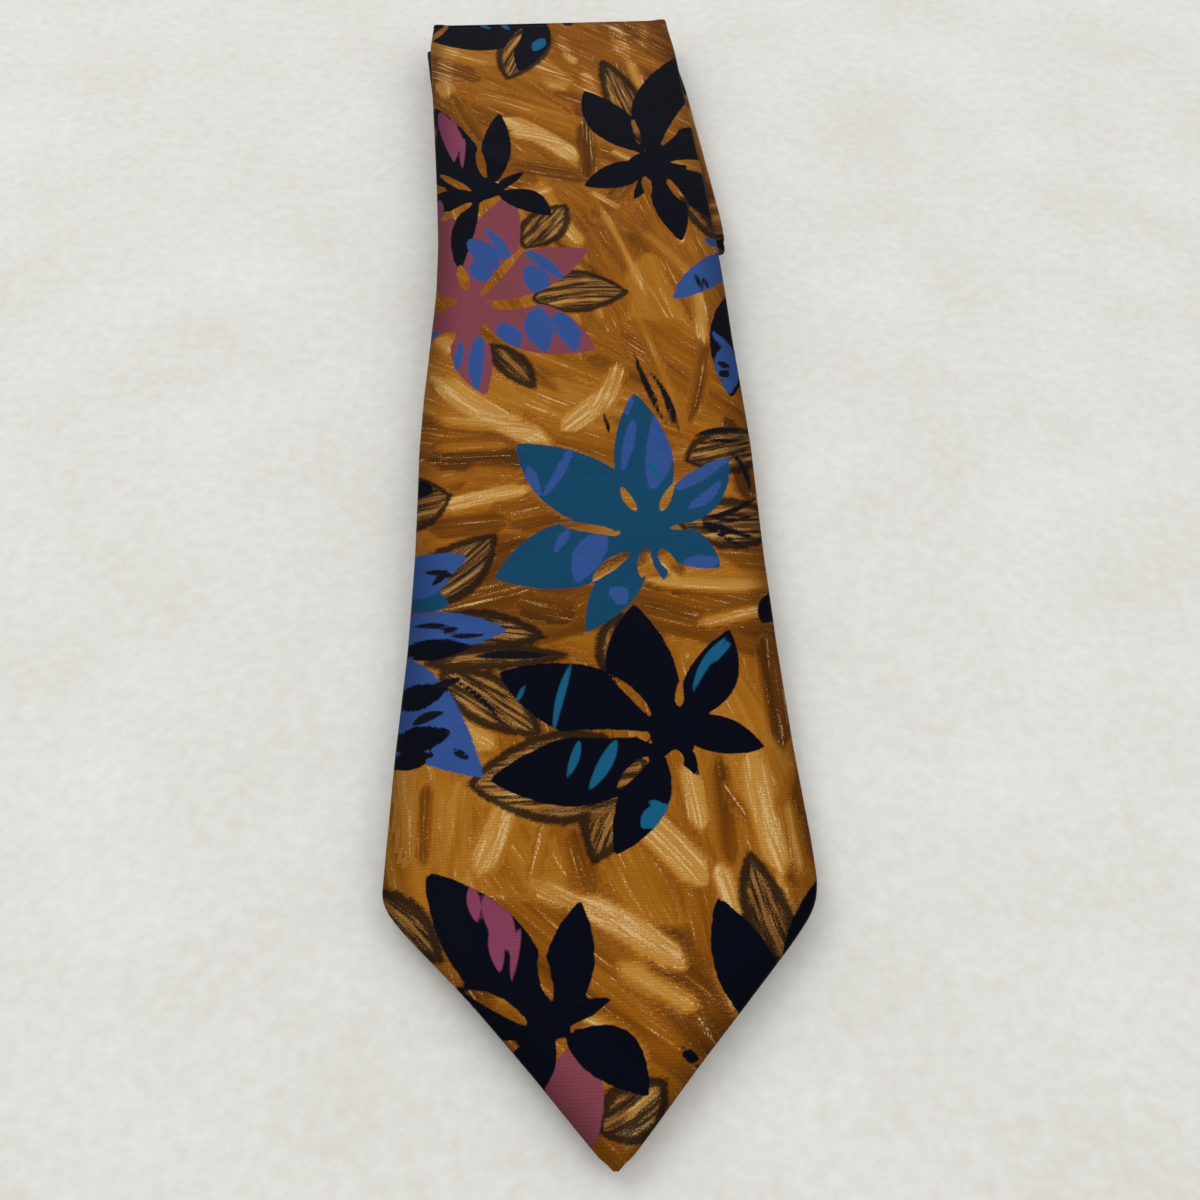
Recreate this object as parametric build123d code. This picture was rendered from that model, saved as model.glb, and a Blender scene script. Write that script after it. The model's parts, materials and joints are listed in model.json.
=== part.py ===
from build123d import *
import os
from math import asin, cos, degrees, radians, sin, tan

# A wide silk necktie, folded in five layers and laid on a flat surface with its point towards -Y.
# Each layer is a flattened tube of shell cloth, closed along the middle of its back, round a strip
# of wool interlining. The shell is three lengths joined by slanted seams: blade, neck and tail.
# The flat tie is drawn once, x across and y along it from the point of the blade, face up (+Z).
# It is then cut at the folds, and each length is laid where it lies in the folded tie.

# Driving dimensions, in millimetres and degrees.
blade_width = 100.0
blade_point = 60.0
top_fold_width = 86.0
seam_width = 60.0
neck_width = 37.0
tail_width = 47.0
tail_point = 28.0
front_length = 415.0
short_length = 130.0
long_length = 375.0
hinge_place = 255.0
blade_end = 700.0
neck_start = 900.0
neck_end = 1000.0
tail_start = 1092.0
layer_thickness = 1.9
layer_gap = 0.6
cloth_thickness = 0.3
right_overhang = 6.5
left_overhang = 5.0

# Small clearances and details.
front_clearance = 0.3
fold_clearance = 0.05
back_slit = 0.5
seam_gap = 0.3
seam_slant = 45.0
edge_clearance = 0.15
inner_bottom = -0.35
inner_top = 0.6
tipping_bottom = -0.6
tipping_top = -0.4
side_reach = 90.0

tie_length = front_length + 2 * short_length + 2 * long_length
half_layer = layer_thickness / 2
half_cavity = half_layer - cloth_thickness
layer_pitch = layer_thickness + layer_gap
right_fold_place = front_length + short_length
left_fold_place = right_fold_place + short_length
tail_fold_place = left_fold_place + long_length


def half_width(place):
    """Half the tie's width at a distance from the point of the blade, between the two points."""
    stations = [
        (blade_point, blade_width / 2),
        (front_length, top_fold_width / 2),
        (blade_end, seam_width / 2),
        (neck_start, neck_width / 2),
        (neck_end, neck_width / 2),
        (tie_length - tail_point, tail_width / 2),
    ]
    for (low, low_half), (high, high_half) in zip(stations, stations[1:]):
        if low <= place <= high:
            return low_half + (high_half - low_half) * (place - low) / (high - low)
    raise ValueError("place is past a point of the tie")


# The folded path: where each fold's middle lies, and how far each layer leans from the Y axis.
# The second layer leans right and the third left, so that one fold shows at each side of the front.
right_fold_x = half_width(front_length - short_length) + right_overhang - half_width(right_fold_place)
left_fold_x = half_width(left_fold_place) - half_width(front_length) - left_overhang
second_lean = asin(right_fold_x / short_length)
third_lean = asin((right_fold_x - left_fold_x) / short_length)
fourth_lean = asin(-left_fold_x / long_length)
right_fold_y = front_length - short_length * cos(second_lean)
left_fold_y = right_fold_y + short_length * cos(third_lean)
tail_fold_y = left_fold_y - long_length * cos(fourth_lean)
middle_heights = [half_layer + layer_pitch * step for step in range(4)]
tail_height, fourth_height, third_height, second_height = middle_heights
point_height = 2 * layer_pitch + half_layer
front_rise = 2 * layer_pitch - layer_gap + front_clearance
front_slope = front_rise / (front_length - short_length)
front_height = point_height + front_length * front_slope

# Each fold halves the turn from one layer's lean to the next. Its tilt is seen in the flat tie.
top_fold_angle = second_lean / 2
right_fold_angle = (second_lean + third_lean) / 2
left_fold_angle = (third_lean + fourth_lean) / 2
tail_fold_angle = fourth_lean / 2
fold_lines = [
    (front_length, top_fold_angle),
    (right_fold_place, second_lean - right_fold_angle),
    (left_fold_place, left_fold_angle - third_lean),
    (tail_fold_place, tail_fold_angle),
]
start_line = (-side_reach, 0.0)
hinge_line = (hinge_place, 0.0)
end_line = (tie_length + side_reach, 0.0)
blade_seam_line = (blade_end + 30.0, radians(seam_slant))
tail_seam_line = (tail_start, radians(seam_slant))


def outline(inset):
    """The flat tie's outline, drawn in by a distance, with its points and corners a little round."""
    rights = [
        (half_width(place), place)
        for place in (blade_point, front_length, blade_end, neck_start, neck_end, tie_length - tail_point)
    ]
    lefts = [(-x, y) for x, y in reversed(rights)]
    face = make_face(Polyline((0, 0), *rights, (0, tie_length), *lefts, close=True))
    along = face.vertices().sort_by(Axis.Y)
    face = fillet([along[0], along[-1]], radius=1.5)
    wide = [v for v in face.vertices() if abs(v.Y - blade_point) < 0.1 or abs(v.Y - tie_length + tail_point) < 0.1]
    face = fillet(wide, radius=4.0)
    return offset(face, amount=-inset, kind=Kind.INTERSECTION) if inset else face


def slab(face, bottom, top):
    """A flat face made solid between two heights."""
    return Pos(0, 0, bottom) * extrude(face, amount=top - bottom, dir=(0, 0, 1))


def box(centre_x, centre_y, width, length, bottom, top):
    """A square block, placed by its middle across and along the tie and by two heights."""
    block = Box(width, length, top - bottom)
    return Pos(centre_x, centre_y, (bottom + top) / 2) * block


def between(first, last, clearance=0.0):
    """A tall block between two lines across the flat tie, each a place and a tilt."""
    reach_first = side_reach * tan(first[1])
    reach_last = side_reach * tan(last[1])
    low = first[0] + clearance
    high = last[0] - clearance
    corners = [
        (-side_reach, low - reach_first),
        (side_reach, low + reach_first),
        (side_reach, high + reach_last),
        (-side_reach, high - reach_last),
    ]
    return slab(make_face(Polyline(*corners, close=True)), -4.0, 4.0)


def kite(low, middle, high, half):
    """The four-sided opening at the back of a point, where the lining shows."""
    return make_face(Polyline((0, low), (half, middle), (0, high), (-half, middle), close=True))


# The flat tie, whole. The back wall is cut along the middle and opened behind each point.
blade_apex = 112.0
tail_apex = tie_length - 58.0
blade_tack_place = blade_apex + 4.0
tail_tack_place = tail_apex - 4.0
blade_window = kite(17.0, blade_point, blade_apex, 36.0)
tail_window = kite(tail_apex, tie_length - tail_point, tie_length - 11.0, 14.0)
back_cuts = slab(blade_window, -half_layer, -half_cavity) + slab(tail_window, -half_layer, -half_cavity)
back_cuts += box(0, (blade_apex + tail_apex) / 2, back_slit, tail_apex - blade_apex + 2, -half_layer, -half_cavity)
back_cuts += box(0, blade_tack_place, 8.0, 1.2, -half_layer, -half_cavity)
back_cuts += box(0, tail_tack_place, 5.0, 1.2, -half_layer, -half_cavity)
flat_shell = slab(outline(0), -half_layer, half_layer) - slab(outline(cloth_thickness), -half_cavity, half_cavity)
flat_shell -= back_cuts
inner_outline = outline(cloth_thickness + edge_clearance)
flat_interlining = slab(inner_outline, inner_bottom, inner_top)
blade_lining = slab(kite(6.0, blade_point - 2, blade_apex + 12, 52.0), tipping_bottom, tipping_top)
tail_lining = slab(kite(tail_apex - 8, tie_length - tail_point, tie_length - 3, 26.0), tipping_bottom, tipping_top)
room_inside = slab(inner_outline, -half_cavity, half_cavity)
flat_stitch = box(0, (blade_tack_place + tail_tack_place) / 2, 0.25, tail_tack_place - blade_tack_place - 4,
                  -half_layer + 0.03, -half_cavity - 0.02)


def seam(line):
    """The stitched line of a slanted seam, in the face of the shell."""
    before = (line[0] - seam_gap / 2, line[1])
    after = (line[0] + seam_gap / 2, line[1])
    strip = slab(outline(cloth_thickness), half_cavity, half_layer - 0.02)
    return strip & between(before, after, 0.04)


def joined_at(line, side):
    """The edge of a shell length at a seam, half the seam's gap back from its line."""
    return (line[0] + side * seam_gap / 2, line[1])


def layer_place(start_x, start_y, lean, height, face_up, start):
    """Lays a length of the flat tie, which starts at a place along it, in the folded tie."""
    away = 1 if face_up else -1
    across = (cos(lean), sin(lean), 0)
    laid = Plane(origin=(start_x, start_y, height), x_dir=across, z_dir=(0, 0, away))
    return laid.location * Pos(0, -start, 0)


front_plane = Plane(origin=(0, front_length, front_height), x_dir=(1, 0, 0), z_dir=(0, -front_slope, 1))
front_place = front_plane.location * Pos(0, -front_length, 0)
second_place = layer_place(0, front_length, second_lean, second_height, False, front_length)
third_place = layer_place(right_fold_x, right_fold_y, third_lean, third_height, True, right_fold_place)
fourth_place = layer_place(left_fold_x, left_fold_y, fourth_lean, fourth_height, False, left_fold_place)
tail_place = layer_place(0, tail_fold_y, 0, tail_height, True, tail_fold_place)
layers = {
    "front": (front_place, start_line, hinge_line),
    "upper": (front_place, hinge_line, fold_lines[0]),
    "second": (second_place, fold_lines[0], fold_lines[1]),
    "third": (third_place, fold_lines[1], fold_lines[2]),
    "fourth": (fourth_place, fold_lines[2], fold_lines[3]),
    "tail": (tail_place, fold_lines[3], end_line),
}
shell_lengths = {
    "blade_shell_front": ("front", None, None),
    "blade_shell_upper": ("upper", None, None),
    "blade_shell_second": ("second", None, None),
    "blade_shell_third": ("third", None, None),
    "blade_shell_fourth": ("fourth", None, joined_at(blade_seam_line, -1)),
    "neck_shell_fourth": ("fourth", joined_at(blade_seam_line, 1), None),
    "neck_shell_tail": ("tail", None, joined_at(tail_seam_line, -1)),
    "tail_shell": ("tail", joined_at(tail_seam_line, 1), None),
}


# Each fold is a half ring of the same tube, from the lower layer up to the one above it.
# The face of the cloth is outside a fold at the far end and inside a fold at the near end.
folds = {
    "top_fold": (0, front_length, top_fold_angle, second_height, front_height, front_length, 1),
    "right_fold": (right_fold_x, right_fold_y, right_fold_angle, third_height, second_height,
                   right_fold_place, -1),
    "left_fold": (left_fold_x, left_fold_y, left_fold_angle, fourth_height, third_height,
                  left_fold_place, 1),
    "tail_fold": (0, tail_fold_y, tail_fold_angle, tail_height, fourth_height, tail_fold_place, -1),
}


def half_ring(inner, outer, half_length, far):
    """Half a tube round the X axis, bulging to +Y (far = 1) or -Y (far = -1)."""
    ring = Rot(0, 90, 0) * (Cylinder(outer, 2 * half_length) - Cylinder(inner, 2 * half_length))
    keep = Box(3 * half_length, outer + 1, 3 * outer)
    return ring & Pos(0, far * (fold_clearance + (outer + 1) / 2), 0) * keep


def fold_pieces(fold):
    """The shell and the interlining of one fold, where they lie."""
    x, y, angle, low, high, place, far = fold
    middle = (high - low) / 2
    half_length = half_width(place) / cos(angle)
    laid = Pos(x, y, (low + high) / 2) * Rot(0, 0, degrees(angle))
    hollow = half_ring(middle - half_cavity, middle + half_cavity, half_length - cloth_thickness, far)
    shell = half_ring(middle - half_layer, middle + half_layer, half_length, far) - hollow
    face_side = sorted((middle + far * inner_bottom, middle + far * inner_top))
    inner = half_ring(*face_side, half_length - cloth_thickness - edge_clearance, far)
    return laid * shell, laid * inner


# What is sewn to the back of the blade: a keeper loop for the tail and two blank labels.
back = -half_layer - 0.02
keeper_middle = 218.0
label_middle = 178.0
care_label_top = 158.0
care_label_size = (24.0, 36.0)
label_thickness = 0.25


def keeper_loop():
    """A flat band across the back, held at both ends, with room for the tail behind it."""
    width, length, room, band = 56.0, 12.0, 1.5, 0.8
    loop = box(0, keeper_middle, width, length, back - room - band, back - room)
    for side in (-1, 1):
        loop += box(side * (width / 2 - 2.5), keeper_middle, 5.0, length, back - room, back)
    return loop


def corner_stitches(middle_y, half_x, half_y, height, long_side):
    """Four short stitches, one at each corner of a sewn piece."""
    stitches = []
    for side_x in (-1, 1):
        for side_y in (-1, 1):
            place = (side_x * half_x, middle_y + side_y * half_y)
            stitches.append(box(*place, long_side, 0.5, height - 0.15, height))
    return stitches


def placed(location, pieces):
    """Pieces of one node, moved together."""
    return [location * piece for piece in pieces]


nodes = {}
for name, (layer, lower, upper) in shell_lengths.items():
    location, first, last = layers[layer]
    length = flat_shell & between(first, last, fold_clearance)
    if lower:
        length = length & between(lower, end_line)
    if upper:
        length = length & between(start_line, upper)
    nodes[name] = [location * length]
for layer, (location, first, last) in layers.items():
    zone = between(first, last, fold_clearance)
    nodes[f"interlining_{layer}"] = [location * (flat_interlining & zone)]
    nodes[f"slip_stitch_{layer}"] = [location * (flat_stitch & zone)]
for name, fold in folds.items():
    shell_ring, inner_ring = fold_pieces(fold)
    nodes[f"{name}_shell"] = [shell_ring]
    nodes[f"{name}_interlining"] = [inner_ring]
nodes["blade_tipping"] = [front_place * (blade_lining & room_inside)]
nodes["tail_tipping"] = [tail_place * (tail_lining & room_inside)]
nodes["blade_seam"] = [fourth_place * seam(blade_seam_line)]
nodes["tail_seam"] = [tail_place * seam(tail_seam_line)]
tack_heights = (-half_layer + 0.02, -half_cavity - 0.02)
nodes["blade_bar_tack"] = [front_place * box(0, blade_tack_place, 7.6, 0.9, *tack_heights)]
nodes["tail_bar_tack"] = [tail_place * box(0, tail_tack_place, 4.6, 0.9, *tack_heights)]
nodes["keeper_loop"] = [front_place * keeper_loop()]
keeper_under = back - 2.3 - 0.02
nodes["keeper_stitches"] = placed(front_place, corner_stitches(keeper_middle, 25.5, 4.5, keeper_under, 3.0))
brand_label = box(0, label_middle, 62.0, 28.0, back - label_thickness, back)
nodes["brand_label"] = [front_place * brand_label]
label_under = back - label_thickness - 0.02
nodes["label_stitches"] = placed(front_place, corner_stitches(label_middle, 28.0, 12.5, label_under, 4.0))
care_middle = care_label_top - care_label_size[1] / 2
nodes["care_label"] = [front_place * box(0, care_middle, *care_label_size, back - label_thickness, back)]

# The origin is the middle of the folded tie's footprint, on the surface that it lies on.
whole = Compound(children=[solid for pieces in nodes.values() for solid in pieces]).bounding_box()
to_origin = Pos(-whole.center().X, -whole.center().Y, -whole.min.Z)
os.makedirs("parts", exist_ok=True)
for name, pieces in nodes.items():
    solids = [to_origin * solid for piece in pieces for solid in piece.solids()]
    export_step(Compound(children=solids) if len(solids) > 1 else solids[0], f"parts/{name}.step")
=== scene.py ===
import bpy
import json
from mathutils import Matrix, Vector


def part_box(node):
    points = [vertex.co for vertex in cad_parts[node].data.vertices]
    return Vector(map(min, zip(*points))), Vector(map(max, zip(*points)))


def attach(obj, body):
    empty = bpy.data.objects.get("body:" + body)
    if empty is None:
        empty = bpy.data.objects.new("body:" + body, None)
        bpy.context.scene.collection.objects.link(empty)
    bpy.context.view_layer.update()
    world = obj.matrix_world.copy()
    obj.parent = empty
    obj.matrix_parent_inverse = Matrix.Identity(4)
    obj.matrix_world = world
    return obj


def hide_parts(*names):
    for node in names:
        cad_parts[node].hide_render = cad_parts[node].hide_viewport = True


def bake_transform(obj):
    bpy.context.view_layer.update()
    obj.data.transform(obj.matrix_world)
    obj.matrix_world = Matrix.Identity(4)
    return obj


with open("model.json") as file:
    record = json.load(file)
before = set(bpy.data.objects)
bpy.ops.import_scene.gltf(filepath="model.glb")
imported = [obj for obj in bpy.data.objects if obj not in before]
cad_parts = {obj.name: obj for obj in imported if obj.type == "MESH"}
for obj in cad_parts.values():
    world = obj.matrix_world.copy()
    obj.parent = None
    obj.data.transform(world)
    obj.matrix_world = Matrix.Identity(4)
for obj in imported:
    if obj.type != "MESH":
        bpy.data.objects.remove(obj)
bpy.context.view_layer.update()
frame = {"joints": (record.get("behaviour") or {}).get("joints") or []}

import json
from math import atan, atan2, cos, hypot, pi, radians, sin, tan

import bpy
import numpy as np
from mathutils import Matrix, Vector

# The looks of a printed silk necktie that lies folded in five layers. Lengths are in millimetres:
# "across" is the distance from the tie's middle line, "along" the distance from the blade's point
# in the flat tie, and "out" the height above the middle of a layer, towards the face of the cloth.
MM = 0.001

# Driving dimensions of the flat tie. They follow the ones that the CAD was built from. Only the slit at
# the back and the gaps at the seams are drawn closer here.
front_length = 415.0
tie_length = 1425.0
blade_window = [(17, 0.08), (60, 36), (112, 0.08)]
tail_window = [(1367, 0.08), (1397, 14), (1414, 0.08)]
cloth = 0.3
seam_slant = radians(45)
blade_seam_place = 730.0
tail_seam_place = 1092.0

# Half the visible width of the tie, left and right, at places along it.
left_edge = [(0, 1.0), (20, 16.4), (38, 30.8), (55, 45.6), (61, 49.6), (75, 49.0), (100, 47.9),
             (130, 47.0), (160, 47.0), (200, 47.9), (220, 47.4), (245, 46.0), (265, 44.8), (290, 44.2),
             (400, 44.2), (415, 43.2), (700, 30), (900, 18.5), (1000, 18.5), (1397, 23.5), (1425, 0.8)]
right_edge = [(0, 1.0), (10, 9.5), (20, 17.8), (32, 28.2), (42, 36.6), (50, 43.2), (57, 48.2), (63, 49.7),
              (75, 49.7), (100, 48.8), (130, 47.2), (160, 46.3), (200, 46.2), (222, 45.4), (245, 44.7),
              (280, 44.8), (400, 44.6), (415, 43.2), (530, 37.9), (540, 37.0), (546, 35.0), (552, 36.2),
              (562, 36.5), (700, 30), (900, 18.5), (1000, 18.5), (1397, 23.5), (1425, 0.8)]


def millimetres(point):
    """A point of the frame, which is in metres, as a numpy array in millimetres."""
    return np.array(point, float) / MM


def smooth(value):
    """Rises smoothly from 0 at 0 to 1 at 1."""
    value = np.clip(value, 0, 1)
    return value * value * (3 - 2 * value)


def table_at(table, place):
    """A value from a table of (place, value), with its corners rounded over a few millimetres."""
    places, values = zip(*table)
    shifts = (-2.5, -1.2, 0, 1.2, 2.5)
    return sum(np.interp(place + shift, places, values) for shift in shifts) / len(shifts)


# The folded path, read from the frame: the joints are the folds, and the layers lie between them.
joints = {joint["name"]: joint for joint in frame["joints"]}
tail_low, tail_high = (millimetres(corner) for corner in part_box("tail_shell"))
half_layer = (tail_high[2] - tail_low[2]) / 2


def middle_height(node):
    """The height of the middle of a level layer."""
    low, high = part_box(node)
    return (low.z + high.z) / 2 / MM


def fold(joint_name, radius, far):
    """A fold's centre, its direction in plan, its radius, and whether it bulges to +Y or -Y."""
    axis = joints[joint_name]["axis"]
    centre = millimetres(joints[joint_name]["pos_m"])
    return {"centre": centre, "angle": atan(axis[1] / axis[0]), "radius": radius, "far": far}


heights = {name: middle_height(f"blade_shell_{name}") for name in ("second", "third")}
heights["fourth"] = middle_height("neck_shell_fourth")
heights["tail"] = half_layer
layer_step = heights["second"] - heights["third"]
top_radius = joints["top_unfold"]["pos_m"][2] / MM - heights["second"]
folds = {
    "top": fold("top_unfold", top_radius, 1),
    "right": fold("right_unfold", layer_step / 2, -1),
    "left": fold("left_unfold", layer_step / 2, 1),
    "tail": fold("tail_unfold", layer_step / 2, -1),
}


def layer(origin, height, lean, face_up, place, slope=0.0):
    """Where a length of the flat tie lies: its start, its directions and its place along the tie."""
    across = np.array([cos(lean), sin(lean), 0.0])
    if face_up:
        ahead = np.array([-sin(lean), cos(lean) * cos(slope), sin(slope)])
    else:
        ahead = np.array([sin(lean), -cos(lean), 0.0])
    origin = np.array([origin[0], origin[1], height])
    return {"origin": origin, "across": across, "ahead": ahead, "out": np.cross(across, ahead),
            "lean": lean, "face_up": face_up, "place": place}


def lean_between(start, end):
    """The lean and the length of a layer from one fold's centre to the next one's."""
    run = folds[end]["centre"] - folds[start]["centre"]
    return abs(atan2(run[0], abs(run[1]))), hypot(run[0], run[1])


second_lean, second_length = lean_between("top", "right")
third_lean, third_length = lean_between("right", "left")
fourth_lean, fourth_length = lean_between("left", "tail")
front_height = folds["top"]["centre"][2] + top_radius
hinge = millimetres(joints["blade_lift"]["pos_m"])
front_run = folds["top"]["centre"][1] - hinge[1]
front_slope = atan((front_height + half_layer - hinge[2]) / front_run)
right_place = front_length + second_length
left_place = right_place + third_length
tail_place = left_place + fourth_length
layers = {
    "front": layer(folds["top"]["centre"], front_height, 0, True, front_length, front_slope),
    "second": layer(folds["top"]["centre"], heights["second"], second_lean, False, front_length),
    "third": layer(folds["right"]["centre"], heights["third"], third_lean, True, right_place),
    "fourth": layer(folds["left"]["centre"], heights["fourth"], fourth_lean, False, left_place),
    "tail": layer(folds["tail"]["centre"], heights["tail"], 0, True, tail_place),
}


def fold_line(fold_name, layer_name):
    """A fold in the flat tie: its place along the tie and how far it is from square across."""
    laid = layers[layer_name]
    turn = folds[fold_name]["angle"] - laid["lean"]
    return laid["place"], tan(turn if laid["face_up"] else -turn)


top_line = fold_line("top", "second")
right_line = fold_line("right", "third")
left_line = fold_line("left", "fourth")
tail_line = fold_line("tail", "tail")
seam_half_gap = 0.03


def seam_line(place, side):
    """The edge of a shell length at a slanted seam."""
    return place + side * seam_half_gap, tan(seam_slant)


def lay(layer_name, across, along, out):
    """Points of the flat tie, laid in a layer."""
    laid = layers[layer_name]
    point = laid["origin"] + across[..., None] * laid["across"]
    return point + (along - laid["place"])[..., None] * laid["ahead"] + out[..., None] * laid["out"]


def bend_round(fold_name, across, tilt, turn, out):
    """Points of the flat tie, laid round a fold. turn goes from 0 at its upper end to pi."""
    here = folds[fold_name]
    line = np.array([cos(here["angle"]), sin(here["angle"]), 0.0])
    outward = here["far"] * np.array([-line[1], line[0], 0.0])
    reach = here["radius"] + here["far"] * out
    point = here["centre"] + (across / cos(atan(tilt)))[..., None] * line
    raised = (reach * np.cos(turn))[..., None] * [0, 0, 1.0]
    return point + raised + (reach * np.sin(turn))[..., None] * outward


# The front layer isn't quite straight or flat: it sways, its corners hang a little, and it ripples.
fold_sway = -2.0


def front_ease(across, along):
    """How far the cloth of the front layer lies from its straight flat place."""
    sway = 3.5 * np.sin(pi * np.clip((along - 100) / 300, 0, 1)) + fold_sway * smooth((along - 250) / 165)
    outer = smooth((np.abs(across) - 24) / 30) * smooth((262 - along) / 90)
    hang = 1.6 * outer + 0.8 * smooth((34 - along) / 34)
    fade = smooth((front_length - along) / 30) * smooth(along / 30)
    ripple = 0.30 * np.sin(along / 31 + across / 47 + 1.0) * np.sin(across / 26 + along / 140)
    ripple += 0.22 * np.sin(along / 13.7 - across / 19.0) * smooth((np.abs(across) - 18) / 26)
    crease = 0.9 * np.exp(-(((along - 333) + 0.55 * (across + 26)) / 5.0) ** 2)
    crease *= np.exp(-(((across + 22) / 13) ** 2))
    lift = (ripple + 0.42) * fade * 0.8 - hang + crease * 0.55
    return np.stack([sway, np.zeros_like(sway), lift], axis=-1)


def lay_front(across, along, out):
    """Points of the front layer with its sway, hang and ripple."""
    return lay("front", across, along, out) + front_ease(across, along)


# Cross-sections. A section is a row of columns, each with its place across, height and direction.
def tube_section(columns_face, columns_back, columns_edge):
    """The flattened tube of the shell, from the slit at the back round the left edge to the slit."""
    parts = []
    back = np.linspace(0, 1, columns_back + 1)[:-1]
    parts += [("back", -1, value) for value in back]
    parts += [("edge", -1, value) for value in np.linspace(-pi / 2, pi / 2, columns_edge + 1)[:-1]]
    parts += [("face", 0, value) for value in np.linspace(-1, 1, columns_face + 1)[:-1]]
    parts += [("edge", 1, value) for value in np.linspace(pi / 2, -pi / 2, columns_edge + 1)[:-1]]
    parts += [("back", 1, value) for value in np.linspace(1, 0, columns_back + 1)]
    return parts


def tube_columns(parts, along, slit, thickness):
    """Across, out, across at the inner skin, out there and the cloth's own width, of each column."""
    left = table_at(left_edge, along)
    right = table_at(right_edge, along)
    across = np.zeros_like(along)
    out = np.zeros_like(along)
    pull_across = np.zeros_like(along)
    pull_out = np.zeros_like(along)
    printed = np.zeros_like(along)
    for column, (kind, side, value) in enumerate(parts):
        half = thickness[:, column]
        ends = np.minimum(along[:, column], tie_length - along[:, column])
        point = np.sqrt(np.clip(ends / 3.2, 0.05, 1))
        flat_left = np.maximum(left[:, column] * point - half, 0.05)
        flat_right = np.maximum(right[:, column] * point - half, 0.05)
        width = flat_left if side < 0 else flat_right
        gap = np.minimum(slit[:, column], width * 0.98)
        if kind == "back":
            across[:, column] = side * (gap + value * (width - gap))
            out[:, column] = -half
            pull_out[:, column] = 1
            printed[:, column] = side * (2 * width - np.abs(across[:, column]) + pi * half)
        elif kind == "edge":
            across[:, column] = side * (width + half * cos(value))
            out[:, column] = half * sin(value)
            pull_across[:, column] = -side * cos(value)
            pull_out[:, column] = -sin(value)
            printed[:, column] = side * (width + half * (pi / 2 - value))
        else:
            across[:, column] = np.where(value < 0, flat_left, flat_right) * value
            out[:, column] = half
            pull_out[:, column] = -1
            printed[:, column] = across[:, column]
    depth = np.minimum(cloth, thickness * 0.5)
    return across, out, across + depth * pull_across, out + depth * pull_out, printed


def strip_columns(inset, columns, along):
    """Places across a flat strip that stays inside the shell."""
    left = np.maximum(table_at(left_edge, along) - inset, 0.3)
    right = np.maximum(table_at(right_edge, along) - inset, 0.3)
    share = np.linspace(-1, 1, columns)[None, :]
    return np.where(share < 0, left, right) * share


def layer_places(first, last, rows, across_of):
    """Places along the tie on a grid between two slanted lines.

    across_of gives the places across for places along. A line is slanted, so where a point of the
    grid lies along the tie depends on where it lies across, and a few rounds settle both.
    """
    share = np.linspace(0, 1, rows)[:, None]
    along = (1 - share) * first[0] + share * last[0]
    for _ in range(4):
        across = across_of(along)
        along = (1 - share) * (first[0] + across * first[1]) + share * (last[0] + across * last[1])
    return along


# Meshes.
def new_object(name, points, faces, material):
    """A mesh object from points in millimetres."""
    mesh = bpy.data.meshes.new(name)
    mesh.from_pydata((np.asarray(points) * MM).tolist(), [], faces)
    mesh.update()
    mesh.polygons.foreach_set("use_smooth", [True] * len(mesh.polygons))
    mesh.materials.append(material)
    made = bpy.data.objects.new(name, mesh)
    bpy.context.scene.collection.objects.link(made)
    return made


def grid_faces(rows, columns, start=0, flipped=False):
    """The square faces of a grid of points."""
    index = start + np.arange(rows * columns).reshape(rows, columns)
    corners = [index[:-1, :-1], index[:-1, 1:], index[1:, 1:], index[1:, :-1]]
    if flipped:
        corners.reverse()
    return np.stack(corners, axis=-1).reshape(-1, 4).tolist()


def rim_faces(rows, columns):
    """Faces that join the borders of two grids, the second one right after the first."""
    index = np.arange(rows * columns).reshape(rows, columns)
    border = np.concatenate([index[0, :], index[1:, -1], index[-1, -2::-1], index[-2:0:-1, 0]])
    after = np.roll(border, -1)
    shift = rows * columns
    return np.stack([after, border, border + shift, after + shift], axis=-1).tolist()


def two_skins(name, outer, inner, material):
    """A closed solid between two grids of points."""
    rows, columns = outer.shape[:2]
    faces = grid_faces(rows, columns)
    faces += grid_faces(rows, columns, rows * columns, True)
    faces += rim_faces(rows, columns)
    points = np.concatenate([outer.reshape(-1, 3), inner.reshape(-1, 3)])
    return new_object(name, points, faces, material)


def set_vectors(piece, name, values):
    """Stores three values at each point of a piece, the same on both of its skins."""
    stored = piece.data.attributes.new(name, "FLOAT_VECTOR", "POINT")
    both = np.concatenate([values.reshape(-1, 3)] * 2).astype(np.float32)
    stored.data.foreach_set("vector", both.ravel())


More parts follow.
